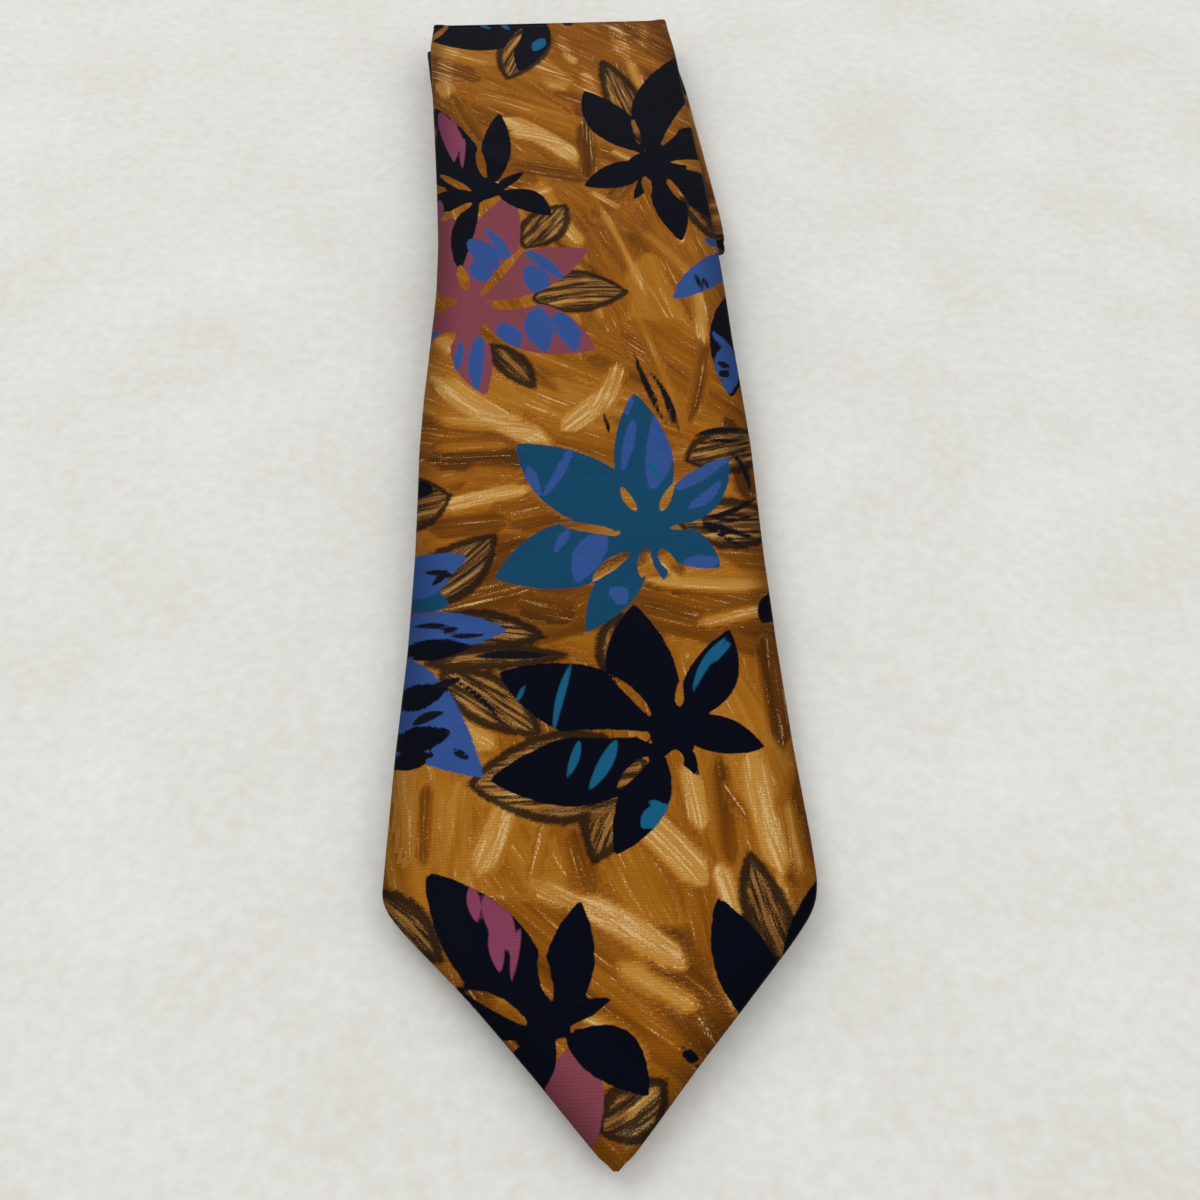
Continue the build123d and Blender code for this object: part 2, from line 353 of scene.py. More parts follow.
# The print. A leaflet is (across and along of its base, of its tip, half its width, bend).
navy_leaflets = [
    # the navy leaf in the middle of the blade
    (18, 105, 10.5, 143, 8.8, 2.6), (15, 106, -23.5, 122, 10.4, 0), (15, 99, -25, 91, 9.8, 2.0),
    (15.5, 99, 3.5, 70.5, 6.0, 1.2), (20, 105, 41.5, 99.5, 5.4, 0.6), (22, 107, 35, 134.5, 6.3, -1.5),
    (13, 104, 27, 104, 7.0, 0), (19, 104, 24.5, 91, 2.2, 0),
    # the navy leaf at the point
    (-13, 31, -39.5, 67.5, 8.8, -0.3), (-10.5, 31, -5, 59, 5.4, 0), (-9, 28, 7.5, 15, 6.0, 2.5),
    (-12, 30, 1, 36, 2.1, 0.5), (-8, 29, -40, 34, 7.5, -4.0), (-12, 28, -24, 12, 5.0, 0),
    # the navy leaf at the left
    (-29, 320, -43.5, 362, 8.8, 3.4), (-25.5, 320, -21.5, 359, 5.0, 0), (-24, 315, -7.5, 303, 5.4, 2.2),
    (-25, 316, -15, 325.5, 2.0, 0.5), (-31, 312, -37.5, 275, 3.6, -2.0), (-27, 318, -50, 330, 7.5, 0),
    (-28, 314, -50, 307, 5.5, 0), (-38, 318, -22, 316, 6.5, 0),
    # the navy leaf at the right
    (26, 337, 9.3, 372.5, 8.3, 1.2), (28, 336, 50, 398, 9.8, 2.5), (30, 332, 56, 352, 9.0, 0),
    (30, 326, 33.5, 289.5, 5.5, 0), (34, 328, 50, 296, 8.0, 2.5), (26, 331, 4.5, 318.3, 6.2, 1.0),
    (26, 327, 20, 311, 2.2, 1.0), (20, 331, 40, 328, 8.0, 0),
    # its lower copy, and the leaves that the edges cut
    (36, 26, 26, 59, 7.0, 0.3), (39, 36, 52, 66, 5.0, -1.0), (46, 264, 42, 219, 6.5, 0),
    (44, 137, 50, 149, 3.5, 0), (-4, 420, -50, 408, 13.0, 4.0), (-4, 420, -13, 384, 6.2, 1.0),
    (-50, 114, -36, 118, 4.5, 0), (-50, 102, -34, 105, 4.5, 0), (-50, 130, -30, 131, 3.6, 0),
    (-50, 97, -38, 99, 3.0, 0), (-50, 186, -43, 184, 3.0, 0), (15, 25, 19, 20, 1.2, 0),
]
teal_leaflets = [
    (15.5, 170, 13.5, 220.5, 8.3, -0.5), (13, 170, -20.5, 200.5, 11.0, 0.2),
    (12, 165, -25.5, 152.5, 11.2, -1.0), (13, 164, -1.8, 134.5, 6.0, 0.8),
    (17, 168, 34, 155.3, 6.2, 0.4), (19, 169, 39, 195.3, 6.6, -0.9),
    (8, 168, 26, 168, 6.5, 0), (17, 166, 19, 150.5, 2.2, 0), (-54, 150, -37, 144, 5.0, 0),
]
mauve_leaflets = [
    (-33, 260, -19.5, 314.5, 8.9, 1.3), (-30, 262, 3.2, 286, 9.2, 2.2), (-30, 256, 2.8, 239.3, 10.6, 0.8),
    (-34, 253, -29.5, 220.3, 6.0, -2.0), (-37, 258, -44, 308, 8.5, 0), (-36, 254, -54, 243, 6.5, 0),
    (-42, 255, -26, 257, 7.5, 0), (-11, -1, -4.5, 28, 7.4, 1.5),
]
blue_leaflets = [
    (52, 285.5, 28, 262, 5.7, 0), (-60, 134, -22, 135.5, 6.8, 0.5), (-48, 128, -27, 92, 8.8, -4.0),
    (-58, 112, -38, 101, 11.0, 0), (-54, 153, -33, 160, 5.2, -0.3), (-50, 148, -37, 154, 4.0, 0),
    (41, 291, 45, 287, 1.8, 0),
]
# The narrow golden gaps between leaflets.
vein_gaps = [
    (14, 108.5, 4, 121, 0.9, -0.6), (13, 103.3, -10, 103.8, 0.9, 0), (13, 96.5, 5, 88, 1.2, -0.5),
    (12.3, 175, 8.5, 184, 1.0, 0.3), (19, 175, 22.5, 184, 1.0, 0), (8, 166.5, -9, 170.5, 1.2, -0.6),
    (10, 160.5, 0, 151, 1.6, -0.6), (14.5, 161.5, 13, 152, 1.5, 0), (18.3, 161.5, 22, 153, 1.6, 0),
    (21.5, 168.8, 29, 169.8, 0.8, 0), (-31, 263.5, -17, 287, 1.3, 0.3), (-28, 257.8, -12, 260.5, 1.4, 0),
    (-35.5, 266, -37.5, 278, 1.5, 0), (-31.5, 248.5, -27, 240, 1.0, 0), (-38, 261, -50, 259.5, 2.4, 0),
    (-39, 247, -47, 238, 2.6, 0), (-28, 323, -29.5, 339, 1.2, 0.4), (-33, 316, -43, 324.5, 1.3, 0.5),
    (-33, 309.5, -44, 299.5, 1.2, 0), (-12, 36, -14, 48, 1.0, 0.4),
    (-17.5, 30.8, -31, 39, 1.3, -0.8), (25.3, 341, 24.5, 356, 0.9, 0), (33, 341, 46, 368, 1.6, -0.6),
    (21.5, 335.3, 13, 337.5, 1.2, 0), (35, 331, 47, 331.3, 1.2, 0), (32.5, 322, 38, 308, 1.1, -0.6),
    (25, 323, 25.5, 313, 1.3, 0), (-11, 412, -17, 390, 1.6, -0.8), (-38, 414, -46, 402, 1.0, 0.3),
    (21, 111, 21.5, 118, 0.8, 0), (19, 98.5, 20.5, 94, 1.3, 0),
]
blue_patches = [
    (17, 183, 20, 214, 3.4, -1.4), (13, 210, 9, 190, 1.2, 0), (11, 212, 12.6, 219, 0.6, 0),
    (-5, 199, -13, 181, 1.0, 0.6), (-17, 192, -14, 181, 1.3, -0.5), (3, 168, -4, 151, 3.8, -0.6),
    (-6, 169, -10, 161, 1.0, 0), (5, 149, 8, 143, 2.2, 0.6),
    (23, 154, 34, 158, 2.8, 0), (24, 183, 39, 195, 3.0, 1.6), (27, 176, 36, 186, 1.3, -0.8),
    (-34, 291, -26, 276, 3.6, 0.5), (-29, 270, -33, 280, 3.2, 0), (-29, 296, -21.5, 279, 1.2, 0.9),
    (-25.5, 291, -24, 281, 1.0, 0), (-17, 286, -5, 271, 1.8, 0.4), (-16, 278, -13, 263, 3.6, 1.0),
    (-25, 251, -20, 240, 3.2, 0), (-14, 258, -12, 238.5, 4.0, -0.6), (-8, 256, -3, 238.5, 3.2, 0.8),
    (-17.5, 252, -16, 246, 0.8, 0), (-37, 243, -38, 231, 0.9, 0), (-31, 246, -32, 222, 2.0, -1.0),
    (-47, 247, -43, 241, 3.0, 0), (42, 240, 41.5, 221, 3.6, 0),
    (39, 247, 44.5, 236, 0.9, 0),
]
teal_streaks = [
    (-3, 406, -7, 397, 2.4, 0),
    (-5.5, 125, -10, 103.5, 1.0, -0.6), (-17, 118.5, -19.5, 112, 0.6, 0), (-3.5, 102, -7, 91, 1.1, 0.3),
    (5.5, 102, -2, 87.5, 1.7, 0.4), (34.5, 132.5, 24.5, 115, 1.2, -1.2), (35.5, 131, 30.5, 124, 0.9, -0.5),
    (10, 77.5, 17, 83.5, 2.8, 0), (12, 84.5, 16.5, 82, 1.2, 0), (-27, 415, -22, 412, 1.0, 0),
    (-19, 416, -15, 411, 1.0, 0), (15, 195, 19.5, 184, 0.9, 0.6), (31, 265, 44, 279, 0.5, 0),
]
mauve_stripes = [
    (-42, 360, -38, 331, 2.8, 1.0), (-38, 352, -36, 337, 2.2, 0), (-34, 345, -35.5, 327, 0.9, -0.3),
    (-44.5, 353, -44, 344, 0.8, 0), (-38, 355, -38, 346, 1.8, 0), (-29.5, 64, -28, 54.5, 1.5, 0),
    (-26, 62, -20, 47, 3.0, 0), (-24.5, 54, -23, 42.5, 1.7, 0), (-18.5, 53, -20.5, 40.5, 0.9, -0.3),
    (-43.5, 311, -43, 303, 1.2, 0),
]
# Sketched leaflets, drawn in charcoal: outlined, and hatched inside.
sketched_leaflets = [
    (-15, 262, 14, 265.5, 9.4, 2.2), (-17, 287, -2.5, 308.5, 6.8, 0), (-28, 241.5, -15.5, 223, 4.3, 0.5),
    (26, 343, 17.5, 391.5, 6.2, -0.8), (41.5, 41, 34.5, 70.5, 5.2, 1.2), (-3, 414, -17.5, 379.5, 8.4, -1.0),
    (9, 91, -1.5, 69, 6.2, -1.0), (12, 95, -30, 90, 12.4, 1.0), (-42, 126, -7, 127, 3.4, 0.5),
    (-44, 137, -12.5, 133.3, 5.8, 0.5), (-52, 146, -26, 167, 8.5, -2.5), (-38, 123, -13, 103.5, 6.6, 0.2),
    (24, 170, 54, 172, 8.6, 0), (27, 194, 54, 203, 8.0, 0), (-3, 8, 11, 17.5, 6.0, -1.0),
    (-54, 64, -36, 46, 4.6, 1.0), (-56, 178, -38.5, 182, 9.4, 0), (7, 140, 3, 121, 2.4, -1.5),
    (36, 312, 46, 288, 2.6, 0),
]
dark_accents = [
    (36, 274, 37.5, 266, 0.5, 0), (38.5, 272, 39.5, 267, 0.4, 0), (-44, 155, -36, 153, 0.8, 0.8),
    (-42, 151, -38, 156, 0.7, -0.5), (-46, 138, -34, 136, 0.7, 0.5), (-38, 135, -28, 134, 0.6, -0.5),
    (39.5, 230, 42, 227.5, 1.4, 0), (39, 234, 43, 231, 0.9, 0), (4, 417, 8, 415, 1.3, 0),
    (-44, 108, -37, 111, 1.2, 0.5), (-40, 119, -33, 121, 1.0, -0.4), (-34, 100, -30, 97, 0.8, 0),
    (14.5, 238, 22, 208, 0.55, -0.8), (15.5, 233, 20.5, 217, 0.4, -0.5), (18.5, 230, 25.5, 204, 0.55, 1.6),
    (21, 224, 23.5, 207, 0.4, 0.8), (4.5, 212, 6, 204, 0.4, 0), (30, 203, 44, 205.5, 0.8, 1.5),
    (31, 200, 45, 201, 0.6, 1.2), (40, 198, 44, 182, 0.6, 1.5), (30, 172, 46, 181, 0.7, -1.2),
    (30, 170.5, 46, 175, 0.5, -0.8), (30, 169.5, 46, 165, 0.8, 0.8), (31, 168.5, 42, 161, 0.5, 0.6),
    (-34, 120, -22, 106, 0.6, 1.0), (-32, 118, -24, 110, 0.4, 0.5), (-30, 127.5, -10, 127, 1.1, 0.3),
]
# Brush strokes of the ground: (start, end, half its width, bend, lightness from -1 to 1).
light_strokes = [
    (-22, 357, 4, 332, 4.2, 1.5, 0.9), (-19, 348, 0, 341, 3.2, 1, 1.0), (-4, 338, 4, 328, 1.6, 0, 0.6),
    (-34, 408, -40, 366, 3.5, -2, 0.55), (-12, 400, 3, 372, 5.0, 1, 0.5), (3, 410, 8, 388, 2.6, -1, 0.7),
    (24, 418, 27, 392, 3.4, -1, 0.55), (34, 418, 33, 396, 2.4, 0, 0.45), (-28, 372, 2, 356, 4.0, 1, 0.3),
    (7, 312, 20, 262, 1.8, 1, 0.5), (4, 296, 27, 204, 1.6, 2, 0.3), (20, 296, 36, 270, 1.8, 1, 0.5),
    (36, 272, 36, 240, 2.4, 0, 0.5), (-2, 282, 6, 250, 2.2, 1, 0.3), (-44, 245, -38, 238, 2.8, 0, 0.8),
    (-46, 230, -10, 200, 4.2, -2, 0.75), (-24, 244, 12, 222, 3.0, 0, 0.25), (8, 222, -8, 205, 3.4, 0, 0.8),
    (10, 234, 2, 212, 3.2, 1, 0.45), (-45, 212, -14, 206, 3.0, 0, 0.45), (-42, 178, -16, 184, 3.0, 0, 0.85),
    (-45, 200, -22, 200, 2.6, 0, 0.25), (-34, 192, -20, 190, 2.4, 0, 0.1), (6, 150, 46, 172, 3.0, 0, 0.3),
    (12, 152, 46, 150, 2.4, -2, 0.6), (26, 136, 46, 142, 2.6, 0, 0.5), (-28, 134, -16, 134, 2.0, 0, 0.5),
    (-38, 110, -24, 100, 3.0, 0, 0.7), (22, 96, 24, 76, 2.6, 0, 0.9), (38, 100, 42, 64, 3.4, -1, 0.75),
    (45, 86, 46, 64, 2.0, 0, 0.55), (-20, 88, -28, 66, 3.6, 0, 0.6), (-12, 80, -16, 62, 2.0, 0, 0.35),
    (6, 84, 24, 62, 4.2, 1, 0.8), (-7, 60, 18, 42, 3.6, 1, 0.95), (-16, 64, 4, 54, 3.0, 0, 0.35),
    (2, 44, 20, 32, 3.0, 0, 0.55), (24, 44, 28, 30, 1.8, 0, 0.6), (-8, 33, 8, 20, 2.2, 2, 0.7),
    (27, 68, 30, 52, 2.6, 0, 0.95), (40, 66, 43, 52, 1.6, 0, 0.8), (9, 18, 2, 4, 3.0, 0, 0.5),
    (27, 394, 30, 372, 2.4, 0, 0.5), (10, 385, 13, 365, 3.0, 0, 0.75), (-46, 100, -44, 70, 2.0, 0, 0.4),
    (-32, 92, -34, 62, 2.2, 0, 0.2), (15, 338, 22, 332, 1.6, 0, 0.9), (-18, 312, -6, 317, 1.8, 0, 0.9),
    (-6, 304, 2, 288, 2.6, 0, 0.6), (6, 316, 16, 306, 2.0, 0, 0.5), (34, 300, 33, 288, 2.0, 0, 0.5),
    (-2, 150, 12, 158, 1.8, 0, 0.5), (14, 160, 24, 150, 1.6, 0, 0.7),
]
dark_strokes = [
    (30, 416, 36, 376, 3.0, 0, -0.7), (12, 412, 15, 392, 3.0, 0, -0.4), (-36, 370, -28, 340, 2.4, 0, -0.4),
    (-20, 330, 8, 322, 5.0, 0, -0.3), (8, 356, 6, 322, 4.0, 0, -0.5), (-46, 226, -20, 208, 4.0, 0, -0.6),
    (-46, 196, -16, 194, 5.0, 0, -0.5), (-44, 170, -22, 172, 5.0, 0, -0.4), (40, 212, 44, 178, 4.0, 0, -0.6),
    (38, 262, 28, 206, 2.6, 2, -0.3), (0, 236, 18, 224, 5.0, 0, -0.2), (-20, 144, -4, 140, 5.0, 0, -0.4),
    (44, 134, 46, 98, 3.6, 0, -0.6), (30, 98, 30, 66, 3.0, 0, -0.4), (-40, 92, -40, 68, 2.6, 0, -0.3),
    (-6, 78, -2, 60, 4.0, 0, -0.3), (10, 40, 22, 22, 4.0, 0, -0.5), (30, 90, 46, 60, 2.4, 0, -0.2),
    (-14, 300, 12, 262, 3.0, 0, -0.2), (24, 330, 6, 300, 4.0, 0, -0.3), (-2, 372, 8, 366, 4.0, 0, -0.3),
]
# Where else the print repeats, for the back of the tie and for its hidden lengths. The repeats
# beside the first one start at the edge of the face.
face_reach = 49.5
repeats = [(0, 0), (98, 208), (98, -208), (-98, 208), (-98, -208)]


def leaf_fields(points, leaf, blunt=False):
    """Depth inside a leaflet, in millimetres, with the places along and across its own axis.

    A blunt one is a brush stroke, which keeps its width to near its ends.
    """
    start = np.array(leaf[:2], float)
    axis = np.array(leaf[2:4], float) - start
    length = hypot(*axis)
    axis /= length
    here = points - start
    along = here @ axis
    share = along / length
    inside = np.clip(share, 0, 1)
    across = here @ np.array([-axis[1], axis[0]]) - leaf[5] * 4 * inside * (1 - inside)
    profile = np.sin(pi * inside ** 0.88) ** 0.78
    if blunt:
        profile = np.minimum(1, 6 * np.minimum(inside, 1 - inside)) ** 0.6
    depth = leaf[4] * profile - np.abs(across)
    beyond = np.maximum(-along, along - length)
    depth = np.where(beyond > 0, -np.hypot(beyond, np.abs(across)), depth)
    return depth, along, across


def nearby(points, leaf, offset):
    """The numbers of the points, which are sorted by their place along, that are close to a leaflet."""
    centre_across = (leaf[0] + leaf[2]) / 2 + offset[0]
    centre_along = (leaf[1] + leaf[3]) / 2 + offset[1]
    reach = hypot(leaf[2] - leaf[0], leaf[3] - leaf[1]) / 2 + leaf[4] + 4
    first, last = np.searchsorted(points[:, 1], (centre_along - reach, centre_along + reach))
    across = points[first:last, 0]
    shown = np.abs(across) > face_reach if offset[0] else True
    return first + np.flatnonzero((np.abs(across - centre_across) < reach) & shown)


def copies(along):
    """The offsets of the repeats of the print that reach a range of places along the tie."""
    first = max(0, int(along.min() // front_length) - 1)
    last = int(along.max() // front_length) + 1
    spans = range(first, last + 1)
    return [(across, span * front_length + ahead) for span in spans for across, ahead in repeats]


def deepest(points, leaves, offsets):
    """The greatest depth inside any leaflet of a list. It is negative outside them all."""
    field = np.full(len(points), -6.0)
    for offset in offsets:
        for leaf in leaves:
            near = nearby(points, leaf, offset)
            if len(near):
                field[near] = np.maximum(field[near], leaf_fields(points[near] - offset, leaf)[0])
    return field


# Which way the brush went, in degrees, at places along the print.
brush_steepness = [(0, -38), (40, -36), (75, -80), (110, -70), (150, 25), (190, -5), (225, -38), (260, -66),
                   (310, -72), (345, -28), (375, -45), (420, -85)]


def ground_strokes():
    """Broad strokes in the direction that the brush took at each place, in a fixed random order."""
    rng = np.random.default_rng(7)
    strokes = []
    for along in np.arange(-20, 440, 19):
        for across in np.arange(-110, 111, 22):
            place = np.array([across, along]) + rng.uniform(-9, 9, 2)
            steep = np.interp(along, *zip(*brush_steepness))
            turn = radians(steep + rng.uniform(-6, 6) - across * 0.12)
            half = rng.uniform(26, 48)
            ahead = np.array([cos(turn), sin(turn)]) * half
            start, end = place - ahead, place + ahead
            width = rng.uniform(6.0, 13.0)
            bend = rng.uniform(-4, 4)
            strokes.append((*start, *end, width, bend, rng.uniform(-0.42, 0.32)))
    rng.shuffle(strokes)
    dry = [(*stroke[:4], 1.15 * stroke[4], *stroke[5:]) for stroke in light_strokes]
    return [tuple(stroke) for stroke in strokes] + dark_strokes + dry


all_strokes = ground_strokes()


def brush_on(points, offsets):
    """The run and side of the brush stroke at each point, how light it is, and how dry."""
    brush = np.stack([points[:, 1], points[:, 0], np.zeros(len(points))], axis=1)
    cream = np.zeros(len(points))
    for offset in offsets:
        for stroke in all_strokes:
            near = nearby(points, stroke, offset)
            if not len(near):
                continue
            depth, run, side = leaf_fields(points[near] - offset, stroke, True)
            covered = depth > 0
            hit = near[covered]
            tone = stroke[6]
            brush[hit, 0] = run[covered] + 37 * stroke[0]
            brush[hit, 1] = side[covered] + 3 * stroke[1]
            weight = smooth(depth[covered] / 2.4)
            brush[hit, 2] = brush[hit, 2] * (1 - weight) + tone * weight
            if tone > 0.34:
                cream[hit] = np.maximum(cream[hit], weight * tone)
    for offset in offsets:
        for leaf in sketched_leaflets:
            near = nearby(points, leaf, offset)
            if len(near):
                depth, run, side = leaf_fields(points[near] - offset, leaf)
                brush[near[depth > 0], :2] = np.stack([run, side], axis=1)[depth > 0]
    return brush, cream


def print_on(piece, across, along):
    """Stores where each ink lies on a piece, for its material to draw."""
    points = np.stack([across.ravel(), along.ravel()], axis=1)
    order = np.argsort(points[:, 1], kind="stable")
    points = points[order]
    offsets = copies(points[:, 1])
    gaps = deepest(points, vein_gaps, offsets) + 0.3
    inks = [np.minimum(deepest(points, leaves, offsets), -gaps)
            for leaves in (navy_leaflets, teal_leaflets, mauve_leaflets)]
    inked = np.maximum(np.maximum(inks[0], inks[1]), inks[2])
    behind_navy = np.minimum(0.6 - inks[0], -gaps)
    blue = np.maximum(np.minimum(deepest(points, blue_leaflets, offsets), behind_navy),
                      np.minimum(deepest(points, blue_patches, offsets) + 0.4, inked))
    streaks = deepest(points, teal_streaks, offsets)
    stripes = deepest(points, mauve_stripes, offsets)
    accents = deepest(points, dark_accents, offsets) + 0.25
    sketched = deepest(points, sketched_leaflets, offsets)
    brush, cream = brush_on(points, offsets)
    fields = {"inks": inks, "patches": [blue, streaks, stripes], "lines": [sketched, accents, cream],
              "brush": list(brush.T)}
    for name, values in fields.items():
        stored = np.empty((len(points), 3))
        stored[order] = np.stack(values, axis=1)
        set_vectors(piece, name, stored)


# Materials.
def paint(red, green, blue):
    """A colour given in 0 to 255, for a shader, which works in linear light."""
    def linear(value):
        value /= 255
        return value / 12.92 if value <= 0.04045 else ((value + 0.055) / 1.055) ** 2.4
    return (linear(red), linear(green), linear(blue), 1.0)


class Shading:
    """The nodes of one material, added one at a time."""

    def __init__(self, name, roughness, specular, sheen=0.0, sheen_roughness=0.4):
        self.material = bpy.data.materials.new(name)
        self.material.use_nodes = True
        self.tree = self.material.node_tree
        self.shader = self.tree.nodes["Principled BSDF"]
        self.shader.inputs["Roughness"].default_value = roughness
        self.shader.inputs["Specular IOR Level"].default_value = specular
        self.shader.inputs["Sheen Weight"].default_value = sheen
        self.shader.inputs["Sheen Roughness"].default_value = sheen_roughness

    def put(self, socket, value):
        """Links a socket, or sets it to a constant."""
        if isinstance(value, bpy.types.NodeSocket):
            self.tree.links.new(value, socket)
        else:
            socket.default_value = value

    def math(self, operation, first, second=0.0, clamp=False):
        node = self.tree.nodes.new("ShaderNodeMath")
        node.operation = operation
        node.use_clamp = clamp
        self.put(node.inputs[0], first)
        self.put(node.inputs[1], second)
        return node.outputs[0]

    def add(self, first, second, clamp=False):
        return self.math("ADD", first, second, clamp)

    def times(self, first, second, clamp=False):
        return self.math("MULTIPLY", first, second, clamp)

    def scaled(self, value, scale, shift=0.0, clamp=False):
        """value * scale + shift."""
        node = self.tree.nodes.new("ShaderNodeMath")
        node.operation = "MULTIPLY_ADD"
        node.use_clamp = clamp
        self.put(node.inputs[0], value)
        self.put(node.inputs[1], scale)
        self.put(node.inputs[2], shift)
        return node.outputs[0]

    def attribute(self, name):
        """Three values that are stored at each point of a mesh."""
        node = self.tree.nodes.new("ShaderNodeAttribute")
        node.attribute_name = name
        split = self.tree.nodes.new("ShaderNodeSeparateXYZ")
        self.tree.links.new(node.outputs["Vector"], split.inputs[0])
        return split.outputs

    def vector(self, x, y, z=0.0):
        node = self.tree.nodes.new("ShaderNodeCombineXYZ")
        for socket, value in zip(node.inputs, (x, y, z)):
            self.put(socket, value)
        return node.outputs[0]

    def noise(self, vector, scale, detail=2.0, roughness=0.5):
        node = self.tree.nodes.new("ShaderNodeTexNoise")
        self.put(node.inputs["Vector"], vector)
        node.inputs["Scale"].default_value = scale
        node.inputs["Detail"].default_value = detail
        node.inputs["Roughness"].default_value = roughness
        return node.outputs["Fac"]

    def mix(self, share, first, second, kind="MIX"):
        node = self.tree.nodes.new("ShaderNodeMix")
        node.data_type = "RGBA"
        node.blend_type = kind
        self.put(node.inputs[0], share)
        self.put(node.inputs[6], first)
        self.put(node.inputs[7], second)
        return node.outputs[2]

    def ramp(self, value, stops):
        node = self.tree.nodes.new("ShaderNodeValToRGB")
        elements = node.color_ramp.elements
        while len(elements) < len(stops):
            elements.new(0.5)
        for element, (place, colour) in zip(elements, stops):
            element.position = place
            element.color = colour
        self.put(node.inputs[0], value)
        return node.outputs[0]

    def finish(self, colour, height=None, bump=0.0, rise=0.1, roughness=None):
        """Links the colour, a bump from a height, which rises by so many millimetres, and roughness."""
        self.put(self.shader.inputs["Base Color"], colour)
        if roughness is not None:
            self.put(self.shader.inputs["Roughness"], roughness)
        if height is not None:
            node = self.tree.nodes.new("ShaderNodeBump")
            node.inputs["Strength"].default_value = bump
            node.inputs["Distance"].default_value = rise * MM
            self.put(node.inputs["Height"], height)
            self.put(self.shader.inputs["Normal"], node.outputs[0])
        return self.material


rib_pitch = 0.75


def silk_material():
    """Printed silk twill: a brushed golden-brown ground with painted leaves and charcoal sketches."""
    s = Shading("printed_silk", 0.42, 0.035, 0.0, 0.35)
    flat = s.attribute("flat")
    navy, teal, mauve = s.attribute("inks")
    blue, streak_teal, stripe_mauve = s.attribute("patches")
    sketch, accent, cream = s.attribute("lines")
    run, side, tone = s.attribute("brush")
    place = s.vector(flat[0], flat[1])
    wobble = s.scaled(s.noise(place, 0.42, 3.0), 1.7, -0.85)
    grain = s.scaled(s.noise(place, 1.5, 3.0, 0.7), 2.0, -1.0)
    speck = s.scaled(s.noise(place, 2.8, 2.0, 0.6), 2.0, -1.0)
    streak_place = s.vector(s.times(run, 0.013), s.times(side, 0.17), tone)
    streak = s.scaled(s.noise(streak_place, 1.0, 5.0, 0.62), 2.0, -1.0)
    bristle_place = s.vector(s.times(run, 0.05), s.times(side, 0.95), tone)
    bristle = s.scaled(s.noise(bristle_place, 1.0, 3.0, 0.6), 2.0, -1.0)
    cloudy = s.scaled(s.noise(place, 0.03, 3.0), 2.0, -1.0)

    # The ground: brown to gold by stroke, streak and grain, with cream where the brush ran dry.
    level = s.scaled(streak, 0.50, 0.5)
    for part, share in ((tone, 0.66), (bristle, 0.14), (cream, 0.22), (grain, 0.07), (cloudy, 0.14)):
        level = s.add(level, s.scaled(part, share))
    ground = s.ramp(level, [(0.12, paint(84, 46, 4)), (0.36, paint(124, 70, 6)), (0.52, paint(147, 86, 9)),
                            (0.70, paint(166, 106, 24)), (0.95, paint(188, 134, 56))])
    dry = s.add(s.scaled(bristle, 3.4, -1.0), s.add(s.scaled(grain, 1.2), s.scaled(speck, 1.9)))
    dry = s.add(dry, s.scaled(cream, 1.18))
    dry = s.scaled(dry, 2.0, 0.0, True)
    colour = s.mix(s.times(dry, 0.9), ground, paint(218, 184, 126))

    # Charcoal sketches: a rough outline, with hatching inside it that lets the ground through.
    outline = s.math("ABSOLUTE", s.add(s.scaled(sketch, 1.0, -0.6), wobble))
    outline = s.add(s.scaled(outline, -1.1, 2.0), s.add(s.scaled(grain, 1.2), s.scaled(speck, 1.2)))
    within = s.scaled(sketch, 1.0, 0.2, True)
    hatch_place = s.vector(s.times(run, 0.045), s.times(side, 0.55), 5.0)
    hatch = s.scaled(s.noise(hatch_place, 1.0, 4.0, 0.62), 10.0, -4.4)
    hatch = s.times(s.add(hatch, s.scaled(speck, 2.0)), within)
    pale = s.times(s.scaled(within, 0.45), s.scaled(bristle, 1.2, 0.5, True))
    colour = s.mix(pale, colour, paint(196, 158, 100))
    charcoal = s.math("MAXIMUM", s.math("MINIMUM", outline, 1.0, True), s.times(hatch, 0.9, True))
    colour = s.mix(s.times(charcoal, 0.93), colour, paint(25, 15, 9))

    # The inks, each inside its leaves, with a hand-painted edge.
    def ink(under, depth, tint, shade, edge=3.2, ragged=0.0):
        border = s.add(s.scaled(wobble, 0.5), s.scaled(bristle, ragged))
        share = s.scaled(s.add(depth, border), edge, 0.5, True)
        mottle = s.scaled(s.add(s.scaled(streak, 0.6), s.scaled(grain, 0.4)), 0.5, 0.5, True)
        return s.mix(share, under, s.mix(mottle, shade, tint))

    colour = ink(colour, mauve, paint(140, 72, 86), paint(116, 56, 66))
    colour = ink(colour, teal, paint(20, 80, 114), paint(13, 58, 88))
    colour = ink(colour, navy, paint(2, 8, 25), paint(0, 2, 11))
    colour = ink(colour, blue, paint(56, 92, 160), paint(40, 68, 128), 2.4, 1.1)
    on_leaf = s.scaled(s.math("MAXIMUM", navy, s.math("MAXIMUM", teal, blue)), 2.0, 0.5, True)
    streaks = s.times(s.scaled(streak_teal, 2.4, 0.5, True), on_leaf)
    colour = s.mix(streaks, colour, paint(18, 92, 128))
    stripes = s.times(s.scaled(stripe_mauve, 2.6, 0.5, True), on_leaf)
    colour = s.mix(stripes, colour, paint(132, 62, 90))
    accents = s.scaled(s.add(accent, s.scaled(grain, 0.5)), 2.5, 0.5, True)
    colour = s.mix(accents, colour, paint(14, 14, 22))

